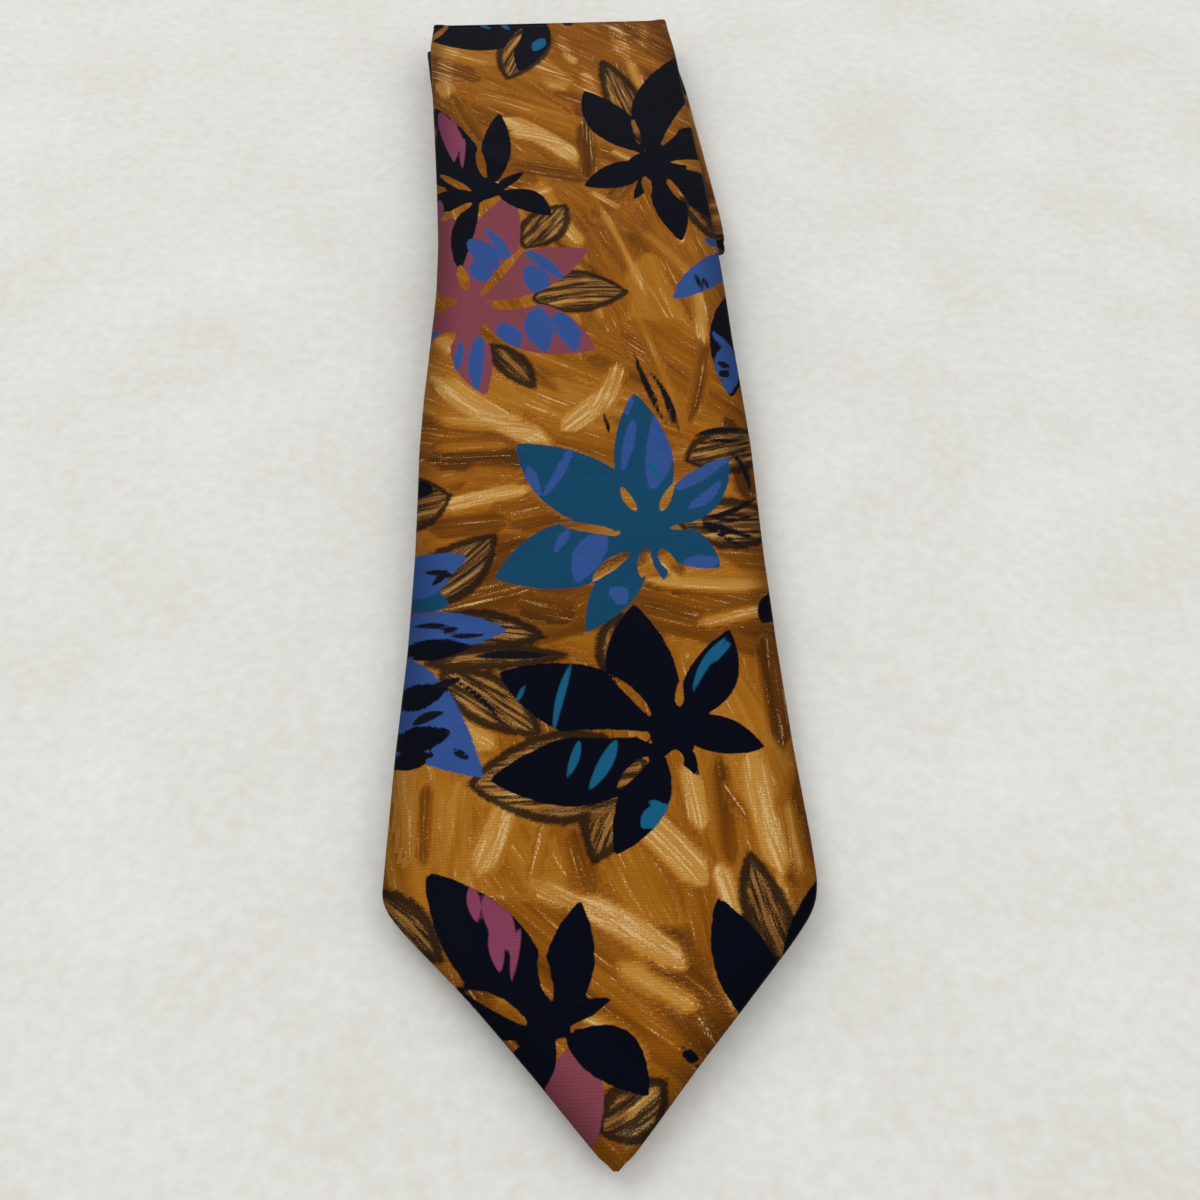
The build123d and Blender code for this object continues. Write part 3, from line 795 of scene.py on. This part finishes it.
    # The weave: fine ribs across the tie, uneven, and painted shade that darkens the colour towards the
    # rolled edge and round it.
    slub = s.noise(s.vector(s.times(flat[0], 0.12), s.times(flat[1], 1.6)), 1.0, 3.0)
    rib = s.scaled(flat[1], 2 * pi / rib_pitch, s.scaled(slub, 5.0))
    rib = s.scaled(s.math("SINE", rib), 0.5, 0.5)
    # Painted shade: the colour darkens by up to half towards and round the rolled edge, where the cloth
    # turns away from the light.
    painted_edge_shade = s.scaled(flat[2], -0.5, 1.0)
    shade = s.times(painted_edge_shade, s.scaled(rib, 0.15, 0.89))
    colour = s.mix(1.0, colour, s.vector(shade, shade, shade), "MULTIPLY")
    height = s.add(s.scaled(rib, 0.7), s.scaled(slub, 0.6))
    rough = s.scaled(slub, 0.2, 0.36)
    return s.finish(colour, height, 0.45, 0.12, rough)


def cloth_material(name, light, dark, thread, roughness=0.7, specular=0.2, sheen=0.2, bump=0.4):
    """A plain cloth: threads both ways at a pitch, with slubs and a soft change of colour."""
    s = Shading(name, roughness, specular, sheen)
    coordinates = s.tree.nodes.new("ShaderNodeTexCoord").outputs["Object"]
    split = s.tree.nodes.new("ShaderNodeSeparateXYZ")
    s.tree.links.new(coordinates, split.inputs[0])
    turns = 2 * pi / (thread * MM)
    warp = s.scaled(s.math("SINE", s.times(split.outputs[0], turns)), 0.5, 0.5)
    weft = s.scaled(s.math("SINE", s.times(split.outputs[1], turns)), 0.5, 0.5)
    fuzz = s.noise(coordinates, 900, 4.0, 0.7)
    cloudy = s.noise(coordinates, 60, 3.0)
    weave = s.times(warp, weft)
    level = s.add(s.scaled(weave, 0.4), s.add(s.scaled(fuzz, 0.35), s.scaled(cloudy, 0.3)))
    colour = s.ramp(level, [(0.2, dark), (0.75, light)])
    height = s.add(weave, s.scaled(fuzz, 0.8))
    return s.finish(colour, height, bump, 0.15, s.scaled(fuzz, 0.15, roughness - 0.07))


silk = silk_material()
wool = cloth_material("brushed_wool", paint(226, 218, 200), paint(182, 170, 148), 1.4, 0.95, 0.1, 0.5, 0.7)
lining = cloth_material("golden_lining", paint(150, 100, 34), paint(112, 68, 14), 0.5, 0.4, 0.35, 0.2, 0.25)
thread = cloth_material("brown_thread", paint(150, 96, 30), paint(92, 54, 12), 0.4, 0.55, 0.3, 0.3, 0.6)


# The shell: a flattened tube round each length, in pieces. The two pieces that lie in a single layer follow
# its body; the others have their placement baked in.
def slit_at(along):
    """Half the gap between the two edges at the back: a slit, opened behind each point."""
    return np.maximum(np.interp(along, *zip(*blade_window)), np.interp(along, *zip(*tail_window)))


tip_closing, tip_closing_reach = 0.85, 2.2


def thickness_at(along):
    """Half the thickness of the tube: even, and closing at both points."""
    ends = np.minimum(along, tie_length - along)
    return half_layer * (1 - tip_closing * np.exp(-np.maximum(ends, 0) / tip_closing_reach))


def edge_share(across, along):
    """0 on the face, rising to 1 at the rolled edge and round it. The silk's painted shade follows it."""
    width = np.where(across < 0, table_at(left_edge, along), table_at(right_edge, along))
    return smooth((np.abs(across) - width + 10.0) / 11.5)


def layer_columns(parts, first, last, rows):
    """Where the tube's columns lie, on rows between two lines across the tie."""
    shape = np.zeros((rows, len(parts)))

    def columns(along):
        along = along + shape
        return tube_columns(parts, along, slit_at(along), thickness_at(along))

    along = layer_places(first, last, rows, lambda places: columns(places)[0])
    return along, columns(along)


def row_count(first, last, row_step):
    """How many rows a length has. A fold has no last line, and always the same number."""
    return max(3, int((last[0] - first[0]) / row_step)) if last else ring_rows


def turn_round(along, last):
    """How far round its fold each row is, or None for a length that lies in a layer."""
    return None if last else np.linspace(0, pi, len(along))[:, None] + 0 * along


def placed(place_points, across, along, out, turn):
    """Points laid in a layer, or round a fold."""
    if turn is None:
        return place_points(across, along, out)
    return place_points(across, along, turn, out)


def shell(name, pieces, columns_face, columns_back, columns_edge, row_step, cloth_before=0.0, arc=0.0):
    """A shell piece from a list of lengths: (how it is laid, first line, last line).

    The print runs on round the folds. cloth_before is the cloth that the folds before this piece
    take up, and arc what its own fold takes, when it starts with one.
    """
    parts = tube_section(columns_face, columns_back, columns_edge)
    outers, inners, printed_across, printed_along, edges = [], [], [], [], []
    for number, (place_points, first, last) in enumerate(pieces):
        rows = row_count(first, last, row_step)
        along, columns = layer_columns(parts, first, last or first, rows)
        across, out, inner_across, inner_out, printed = columns
        turn = turn_round(along, last)
        outers.append(placed(place_points, across, along, out, turn))
        inners.append(placed(place_points, inner_across, along, inner_out, turn))
        printed_across.append(printed)
        squeeze = print_squeeze * smooth((along - front_length) / print_squeeze_length)
        printed_along.append(along + squeeze + cloth_before + (arc if last else arc * turn / pi))
        edges.append(edge_share(printed, along))
        if number:
            for rows_of in (outers, inners, printed_across, printed_along, edges):
                rows_of[-1] = rows_of[-1][1:]
    made = two_skins(name, np.concatenate(outers), np.concatenate(inners), silk)
    across, along = np.concatenate(printed_across), np.concatenate(printed_along)
    set_vectors(made, "flat", np.stack([across, along, np.concatenate(edges)], axis=-1))
    print_on(made, across, along)
    return made


ring_rows = 15


def on_layer(layer_name):
    """A function that lays points in a layer."""
    return lambda across, along, out: lay(layer_name, across, along, out)


def lay_second(across, along, out):
    """The second layer leaves the top fold where the front layer's sway brings it."""
    point = lay("second", across, along, out)
    point[..., 0] += fold_sway * smooth((front_length + 45 - along) / 45)
    return point


# The nub at each end of the top fold, and how far the fold bulges.
nub_height, nub_inset, nub_reach = 1.5, 1.8, 2.6
top_bulge = 0.35


def round_top(across, along, turn, out):
    """The top fold, swayed with the front, with a soft nub at each end."""
    width = np.where(across < 0, table_at(left_edge, along), table_at(right_edge, along))
    nub = nub_height * np.exp(-(((width - np.abs(across) - nub_inset) / nub_reach) ** 2)) * np.sin(turn)
    point = bend_round("top", across, top_line[1], turn, out + top_bulge * np.sin(turn))
    point[..., 0] += fold_sway
    point[..., 1] += nub
    return point


def round_fold(fold_name, line):
    """A function that lays points round a fold."""
    return lambda across, along, turn, out: bend_round(fold_name, across, line[1], turn, out)


# The print closes up a little behind the top fold, so that dark leaves fall on the left fold.
print_squeeze = 50.0
print_squeeze_length = 210
top_arc = pi * top_radius
low_arc = pi * layer_step / 2
tip_round = 0.35
start_line = (tip_round, 0.0)
end_line = (tie_length - tip_round, 0.0)

# Lengths of the tie: how each is laid, its first line across the tie, and its last one. A bend has none.
top_bend = (round_top, top_line, None)
right_bend = (round_fold("right", right_line), right_line, None)
left_bend = (round_fold("left", left_line), left_line, None)
tail_bend = (round_fold("tail", tail_line), tail_line, None)
second_length_laid = (lay_second, top_line, right_line)
third_length_laid = (on_layer("third"), right_line, left_line)
blade_end = (on_layer("fourth"), left_line, seam_line(blade_seam_place, -1))
neck_start = (on_layer("fourth"), seam_line(blade_seam_place, 1), tail_line)
neck_end = (on_layer("tail"), tail_line, seam_line(tail_seam_place, -1))
tail_length = (on_layer("tail"), seam_line(tail_seam_place, 1), end_line)

# Columns on the face, on half the back and round an edge, and millimetres from row to row.
front_grid = (98, 17, 5, 1.35)
blade_grid = (44, 18, 5, 2.2)
fourth_grid = (40, 16, 5, 2.2)
neck_grid = (32, 12, 5, 2.4)
front_silk = shell("blade_silk_front", [(lay_front, start_line, top_line)], *front_grid)
second_silk = shell("blade_silk_second", [top_bend, second_length_laid], *blade_grid, 0.0, top_arc)
third_silk = shell("blade_silk_third", [right_bend, third_length_laid], *blade_grid, top_arc, low_arc)
fourth_silk = shell("blade_silk_fourth", [left_bend, blade_end], *fourth_grid, top_arc + low_arc, low_arc)
neck_silk = shell("neck_silk_fourth", [neck_start], *neck_grid, top_arc + 2 * low_arc)
neck_end_silk = shell("neck_silk_tail", [tail_bend, neck_end], *neck_grid, top_arc + 2 * low_arc, low_arc)
tail_silk = shell("tail_silk", [tail_length], *neck_grid, top_arc + 3 * low_arc)


def across_hinge(piece):
    """Bakes the placement of a front piece into its mesh. Nothing here makes it bend where its point is
    lifted.
    """
    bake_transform(piece)


def across_fold(piece, fold_name, upper, lower):
    """Bakes the placement of a piece that goes round a fold into its mesh. upper and lower are not used."""
    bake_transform(piece)


fold_bodies = {
    "top": ("blade_upper", "second_layer"),
    "right": ("second_layer", "third_layer"),
    "left": ("third_layer", "fourth_layer"),
    "tail": ("fourth_layer", "tail_layer"),
}
across_hinge(front_silk)
across_fold(second_silk, "top", *fold_bodies["top"])
across_fold(third_silk, "right", *fold_bodies["right"])
across_fold(fourth_silk, "left", *fold_bodies["left"])
across_fold(neck_end_silk, "tail", *fold_bodies["tail"])
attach(neck_silk, "fourth_layer")
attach(tail_silk, "tail_layer")
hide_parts("blade_shell_front", "blade_shell_upper")
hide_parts("blade_shell_second", "top_fold_shell")
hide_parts("blade_shell_third", "right_fold_shell")
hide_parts("blade_shell_fourth", "left_fold_shell")
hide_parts("neck_shell_fourth")
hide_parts("neck_shell_tail", "tail_fold_shell")
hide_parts("tail_shell")


# The interlining: one strip of brushed wool inside the shell, cut where the bodies meet.
wool_low, wool_high = -0.36, 0.56
wool_inset = 1.1
wool_columns = 17
wool_row_step = 4.0
wool_end = 4.0


def interlining(name, pieces):
    """A strip of interlining from a list of lengths, as the shell has them."""
    highs, lows = [], []
    for number, (place_points, first, last) in enumerate(pieces):
        rows = row_count(first, last, wool_row_step)
        along = layer_places(first, last or first, rows, wool_across)
        across = wool_across(along)
        taper = thickness_at(along) / half_layer
        turn = turn_round(along, last)
        high = placed(place_points, across, along, wool_high * taper, turn)
        low = placed(place_points, across, along, wool_low * taper, turn)
        highs.append(high[1:] if number else high)
        lows.append(low[1:] if number else low)
    made = two_skins(name, np.concatenate(highs), np.concatenate(lows), wool)
    return made


def wool_across(along):
    """Places across the interlining, at places along the tie."""
    return strip_columns(wool_inset, wool_columns, along)


front_wool = interlining("wool_front", [(lay_front, (wool_end, 0.0), top_line)])
across_hinge(front_wool)
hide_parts("interlining_front", "interlining_upper")
wool_lengths = {
    "second": ("top", [top_bend, second_length_laid]),
    "third": ("right", [right_bend, third_length_laid]),
    "fourth": ("left", [left_bend, (on_layer("fourth"), left_line, tail_line)]),
    "tail": ("tail", [tail_bend, (on_layer("tail"), tail_line, (tie_length - wool_end, 0.0))]),
}
laid_wool = {}
for layer_name, (fold_name, lengths) in wool_lengths.items():
    made = interlining(f"wool_{layer_name}", lengths)
    across_fold(made, fold_name, *fold_bodies[fold_name])
    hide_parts(f"interlining_{layer_name}", f"{fold_name}_fold_interlining")
    laid_wool[layer_name] = made


# The cloth that lines the two points, seen through the openings at the back.
lining_high, lining_low = -0.44, -0.60
lining_inset = 1.3
pucker_depth = 0.03


def tipping(name, place_points, first, last, widest, half_width):
    """A kite of lining between the shell's back and the interlining.

    first, last and widest are places along the tie.
    """
    rows, columns = 44, 33
    along = np.linspace(first, last, rows)[:, None] + np.zeros((rows, columns))
    kite = np.interp(along, [first - 1, widest, last + 1], [0.3, half_width, 0.3])
    room = strip_columns(lining_inset, columns, along)
    share = np.linspace(-1, 1, columns)[None, :]
    across = np.sign(share) * np.minimum(np.abs(room), kite * np.abs(share))
    taper = thickness_at(along) / half_layer
    pucker = pucker_depth * np.sin(along / 5.1) * np.sin(across / 4.3)
    high = place_points(across, along, (lining_high + pucker) * taper)
    low = place_points(across, along, (lining_low + pucker) * taper)
    made = two_skins(name, high, low, lining)
    return made


blade_lining = tipping("blade_lining", lay_front, 7.0, 123.0, 58.0, 52.0)
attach(blade_lining, "blade_front")
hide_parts("blade_tipping")
tail_lining = tipping("tail_lining", on_layer("tail"), 1360.0, 1421.0, 1397.0, 26.0)
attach(tail_lining, "tail_layer")
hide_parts("tail_tipping")


# What is sewn to the back of the blade.
under = -half_layer - 0.03
keeper_middle, keeper_width, keeper_length = 218.0, 56.0, 12.0
keeper_room, keeper_band = 1.5, 0.8


def printed_grid(name, place_points, across, along, high, low, print_shift):
    """A small solid of printed silk. print_shift is where in the print it was cut."""
    made = two_skins(name, place_points(across, along, high), place_points(across, along, low), silk)
    rim = np.zeros(across.shape)
    set_vectors(made, "flat", np.stack([across + print_shift[0], along + print_shift[1], rim], axis=-1))
    print_on(made, across + print_shift[0], along + print_shift[1])
    return made


keeper_rows, keeper_columns = 13, 57
share_across = np.linspace(-1, 1, keeper_columns)[None, :] + np.zeros((keeper_rows, 1))
share_along = np.linspace(-1, 1, keeper_rows)[:, None] + np.zeros((1, keeper_columns))
keeper_across = share_across * keeper_width / 2
keeper_along = keeper_middle + share_along * keeper_length / 2 * (1 - 0.06 * (1 - share_across ** 2))
drop = smooth((keeper_width / 2 - np.abs(keeper_across) - 4) / 5)
round_off = np.sqrt(np.clip(1 - share_along ** 6, 0.02, 1)) * keeper_band / 2
keeper_out = under - keeper_band / 2 - drop * (keeper_room - 0.1)
keeper = printed_grid("keeper_silk", lay_front, keeper_across, keeper_along, keeper_out + round_off,
                      keeper_out - round_off, (12.0, 9.0))
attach(keeper, "blade_front")
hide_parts("keeper_loop")


thread_sides = 6


def thread_loops(name, paths, radius):
    """Lengths of thread, each through a row of points, in one piece."""
    sides = thread_sides
    points, faces = [], []
    for path in paths:
        path = np.asarray(path, float)
        ahead = np.gradient(path, axis=0)
        ahead /= np.linalg.norm(ahead, axis=1)[:, None]
        aside = np.cross(ahead, [0, 0, 1.0])
        aside /= np.maximum(np.linalg.norm(aside, axis=1)[:, None], 1e-6)
        upward = np.cross(aside, ahead)
        start = len(points)
        turns = np.arange(sides) * 2 * pi / sides
        for number, point in enumerate(path):
            thin = 0.55 if number in (0, len(path) - 1) else 1.0
            for turn in turns:
                outward = cos(turn) * aside[number] + sin(turn) * upward[number]
                points.append(point + radius * thin * outward)
        for ring in range(len(path) - 1):
            for side in range(sides):
                first = start + ring * sides + side
                after = start + ring * sides + (side + 1) % sides
                faces.append((first, after, after + sides, first + sides))
        faces.append(tuple(range(start + sides - 1, start - 1, -1)))
        last = start + (len(path) - 1) * sides
        faces.append(tuple(range(last, last + sides)))
    made = new_object(name, points, faces, thread)
    return made


def stitch(place_points, start, end, out, sink=0.1, arch=0.0):
    """One stitch on a layer: it rises out of the cloth, runs along it and goes in again."""
    share = np.array([0, 0.12, 0.5, 0.88, 1.0])
    across = start[0] + (end[0] - start[0]) * share
    along = start[1] + (end[1] - start[1]) * share
    height = out + np.array([sink, 0, -arch, 0, sink])
    return place_points(across, along, height)


corner_reach = 0.35


def corner_stitches(name, node, middle, half_across, half_along, out, count, pitch):
    """Slanted stitches at the four corners of a sewn piece."""
    paths = []
    for side in (-1, 1):
        for end in (-1, 1):
            for number in range(count):
                shift = (number - (count - 1) / 2) * pitch
                across = side * half_across + shift
                along = middle + end * half_along
                begins = (across - corner_reach, along - corner_reach)
                ends = (across + corner_reach, along + corner_reach)
                paths.append(stitch(lay_front, begins, ends, out))
    made = thread_loops(name, paths, 0.13)
    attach(made, "blade_front")
    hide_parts(node)


corner_stitches("keeper_thread", "keeper_stitches", keeper_middle, keeper_width / 2 - 2.5,
                keeper_length / 2 - 1.5, under - keeper_band - 0.05, 4, 0.75)


def label_material(name, light, dark, border):
    """Woven satin, with a woven border near the edge. flat holds the place and the way to the edge."""
    s = Shading(name, 0.45, 0.35, 0.25)
    flat = s.attribute("flat")
    warp = s.scaled(s.math("SINE", s.times(flat[0], 2 * pi / 0.42)), 0.5, 0.5)
    weft = s.scaled(s.math("SINE", s.times(flat[1], 2 * pi / 0.36)), 0.5, 0.5)
    weave = s.times(warp, weft)
    place = s.vector(flat[0], flat[1])
    cloudy = s.noise(place, 0.25, 4.0, 0.6)
    colour = s.mix(s.add(s.scaled(weave, 0.5), s.scaled(cloudy, 0.5)), dark, light)
    band = s.scaled(s.math("ABSOLUTE", s.scaled(flat[2], 1.0, -1.9)), -3.0, 1.3, True)
    colour = s.mix(s.times(band, s.scaled(warp, 0.4, 0.6)), colour, border)
    return s.finish(colour, s.add(weave, s.scaled(band, 0.8)), 0.4, 0.12)


def label(name, node, middle, size, material, curl):
    """A blank woven label with rolled edges. It lies on the back of the blade."""
    rows, columns = 25, 33
    across = np.linspace(-0.5, 0.5, columns)[None, :] * size[0] + np.zeros((rows, 1))
    along = middle + np.linspace(-0.5, 0.5, rows)[:, None] * size[1] + np.zeros((1, columns))
    edge = np.minimum(size[0] / 2 - np.abs(across), size[1] / 2 - np.abs(along - middle))
    body = 0.08 + 0.045 * smooth((2.4 - edge) / 1.2) * smooth(edge / 0.4 + 0.2)
    centre = under - 0.135 - curl * smooth((middle - along) / (size[1] / 2)) ** 2
    high, low = lay_front(across, along, centre + body), lay_front(across, along, centre - body)
    made = two_skins(name, high, low, material)
    set_vectors(made, "flat", np.stack([across, along, edge], axis=-1))
    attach(made, "blade_front")
    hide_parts(node)


blank_label = label_material("woven_label", paint(52, 46, 44), paint(26, 23, 24), paint(176, 138, 78))
blank_care = label_material("satin_care_label", paint(238, 236, 230), paint(212, 208, 198),
                            paint(224, 220, 210))
label_middle, label_size = 178.0, (62.0, 28.0)
care_middle, care_size = 140.0, (24.0, 36.0)
label("blank_woven_label", "brand_label", label_middle, label_size, blank_label, 0.0)
corner_stitches("label_thread", "label_stitches", label_middle, label_size[0] / 2 - 3.0,
                label_size[1] / 2 - 1.5, under - 0.30, 5, 0.8)
label("blank_care_label", "care_label", care_middle, care_size, blank_care, 0.25)


# The hand stitches that close the back, and the bar tacks at their two ends.
blade_tack_place, tail_tack_place = 116.0, 1363.0
stitch_pitch = 6.0
slip_reach, slip_run = 0.75, 2.4
tack_pitch, tack_reach, tack_lean = 0.34, 0.42, 0.16


def slip_stitches(name, place_points, first, last):
    """Small slanted stitches across the slit at the back."""
    paths = []
    for along in np.arange(first, last, stitch_pitch):
        paths.append(stitch(place_points, (-slip_reach, along), (slip_reach, along + slip_run), -half_layer,
                            0.14, 0.02))
    return thread_loops(name, paths, 0.12)


def bar_tack(name, place_points, along, width):
    """A bar of close satin stitches across the slit."""
    paths = []
    for across in np.arange(-width / 2 + 0.2, width / 2, tack_pitch):
        begins, ends = (across, along - tack_reach), (across + tack_lean, along + tack_reach)
        paths.append(stitch(place_points, begins, ends, -half_layer - 0.02, 0.12, 0.03))
    return thread_loops(name, paths, 0.15)


# How far the stitches stay from the tacks, the seams, the top fold and the slanted folds.
tack_clear, seam_clear, fold_clear, slant_clear = 5, 6, 8, 40
front_thread = slip_stitches("slip_thread_front", lay_front, blade_tack_place + tack_clear,
                             front_length - fold_clear)
across_hinge(front_thread)
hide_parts("slip_stitch_front", "slip_stitch_upper")
thread_spans = {
    "second": (lay_second, front_length + fold_clear, right_place - slant_clear, "second_layer"),
    "third": (on_layer("third"), right_place + slant_clear, left_place - slant_clear, "third_layer"),
    "fourth": (on_layer("fourth"), left_place + slant_clear, blade_seam_place - seam_clear, "fourth_layer"),
    "tail": (on_layer("tail"), tail_seam_place + seam_clear, tail_tack_place - tack_clear, "tail_layer"),
}
for layer_name, (place_points, first, last, body) in thread_spans.items():
    made = slip_stitches(f"slip_thread_{layer_name}", place_points, first, last)
    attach(made, body)
    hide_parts(f"slip_stitch_{layer_name}")
blade_tack = bar_tack("blade_tack_thread", lay_front, blade_tack_place, 7.6)
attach(blade_tack, "blade_front")
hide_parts("blade_bar_tack")
tail_tack = bar_tack("tail_tack_thread", on_layer("tail"), tail_tack_place, 4.6)
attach(tail_tack, "tail_layer")
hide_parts("tail_bar_tack")


seam_pitch, seam_stitch = 2.0, 1.6


def seam_thread(name, node, layer_name, place, body):
    """The row of stitches in a slanted seam, on the face and on the back."""
    half = float(table_at(left_edge, np.array([place]))[0]) * 0.96
    paths = []
    for out in (half_layer - 0.05, 0.05 - half_layer):
        for across in np.arange(-half, half - seam_stitch, seam_pitch):
            if out > 0 or abs(across + seam_stitch / 2) > seam_stitch:
                begins = (across, place + across * tan(seam_slant))
                ends = (across + seam_stitch, place + (across + seam_stitch) * tan(seam_slant))
                paths.append(stitch(on_layer(layer_name), begins, ends, out, 0.0, 0.0))
    made = thread_loops(name, paths, 0.13)
    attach(made, body)
    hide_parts(node)


seam_thread("blade_seam_thread", "blade_seam", "fourth", blade_seam_place, "fourth_layer")
seam_thread("tail_seam_thread", "tail_seam", "tail", tail_seam_place, "tail_layer")


# Each silk and wool piece is a folded sheet. Its cut is the width of cloth that goes round the tie.
def folded_cloth(first, last, tube):
    """Works out the width of the flat cut of a shell or interlining piece, and keeps nothing."""
    along = np.linspace(first, last, 120)
    width = table_at(left_edge, along) + table_at(right_edge, along)
    width = 2 * (width - slit_at(along)) if tube else width - 2 * wool_inset


cuts = [
    (front_silk, 0.4, front_length), (second_silk, front_length, right_place),
    (third_silk, right_place, left_place), (fourth_silk, left_place, blade_seam_place),
    (neck_silk, blade_seam_place, tail_place), (neck_end_silk, tail_place, tail_seam_place),
    (tail_silk, tail_seam_place, tie_length - 0.4),
]
wool_cuts = [
    (front_wool, wool_end, front_length), (laid_wool["second"], front_length, right_place),
    (laid_wool["third"], right_place, left_place), (laid_wool["fourth"], left_place, tail_place),
    (laid_wool["tail"], tail_place, tie_length - wool_end),
]
for tube, pieces in ((True, cuts), (False, wool_cuts)):
    for piece, first, last in pieces:
        folded_cloth(first, last, tube)

# The stage: a plain pale floor, soft light, and the camera.
floor_mesh = bpy.data.meshes.new("floor")
floor_reach = 3.0
# The floor is a little under the tie, so that the threads on its underside clear it.
floor_height = -0.0003
floor_mesh.from_pydata([(-floor_reach, -floor_reach, 0), (floor_reach, -floor_reach, 0),
                        (floor_reach, floor_reach, 0), (-floor_reach, floor_reach, 0)], [], [(0, 1, 2, 3)])
floor = bpy.data.objects.new("floor", floor_mesh)
floor.location.z = floor_height
bpy.context.scene.collection.objects.link(floor)
paper = Shading("pale_floor", 0.9, 0.1)
paper_place = paper.tree.nodes.new("ShaderNodeTexCoord").outputs["Object"]
fibres = paper.noise(paper_place, 260, 6.0, 0.68)
blotches = paper.noise(paper_place, 22, 3.0)
mottle = paper.scaled(paper.add(fibres, paper.scaled(blotches, 0.7)), 2.2, -1.4, True)
floor_mesh.materials.append(paper.finish(paper.mix(mottle, paint(226, 225, 219), paint(240, 239, 236))))

world = bpy.data.worlds.new("studio")
bpy.context.scene.world = world
world.use_nodes = True
world.node_tree.nodes["Background"].inputs["Color"].default_value = (1.0, 0.99, 0.97, 1.0)
world.node_tree.nodes["Background"].inputs["Strength"].default_value = 0.75


def soft_light(name, place, size, power):
    """A square soft box that looks at the middle of the tie."""
    lamp = bpy.data.lights.new(name, "AREA")
    lamp.size = size
    lamp.energy = power
    made = bpy.data.objects.new(name, lamp)
    made.location = place
    made.rotation_mode = "QUATERNION"
    made.rotation_quaternion = (-Vector(place)).to_track_quat("-Z", "Y")
    bpy.context.scene.collection.objects.link(made)


soft_light("key", (-0.9, 0.7, 1.5), 1.0, 6.0)
soft_light("fill", (1.2, -0.6, 1.4), 1.2, 3.0)

# The camera looks down at the point of the tie from in front of it, turned a little to the right.
camera_place = Vector((-0.020, -0.310, 0.312))
camera_down, camera_turn, camera_roll = radians(51.0), radians(5.2), radians(3.2)
flat_ahead = Vector((sin(camera_turn), cos(camera_turn), 0)) * cos(camera_down)
ahead = flat_ahead - Vector((0, 0, sin(camera_down)))
level = Vector((cos(camera_turn), -sin(camera_turn), 0))
upward = level.cross(ahead)
right = level * cos(camera_roll) + upward * sin(camera_roll)
up = upward * cos(camera_roll) - level * sin(camera_roll)
camera = bpy.data.objects.new("camera", bpy.data.cameras.new("camera"))
camera.data.lens = 45.0
camera.data.sensor_width = 36.0
camera.data.clip_start = 0.01
camera.matrix_world = Matrix.Translation(camera_place) @ Matrix((right, up, -ahead)).transposed().to_4x4()
bpy.context.scene.collection.objects.link(camera)
bpy.context.scene.camera = camera
bpy.context.scene.view_settings.view_transform = "Standard"
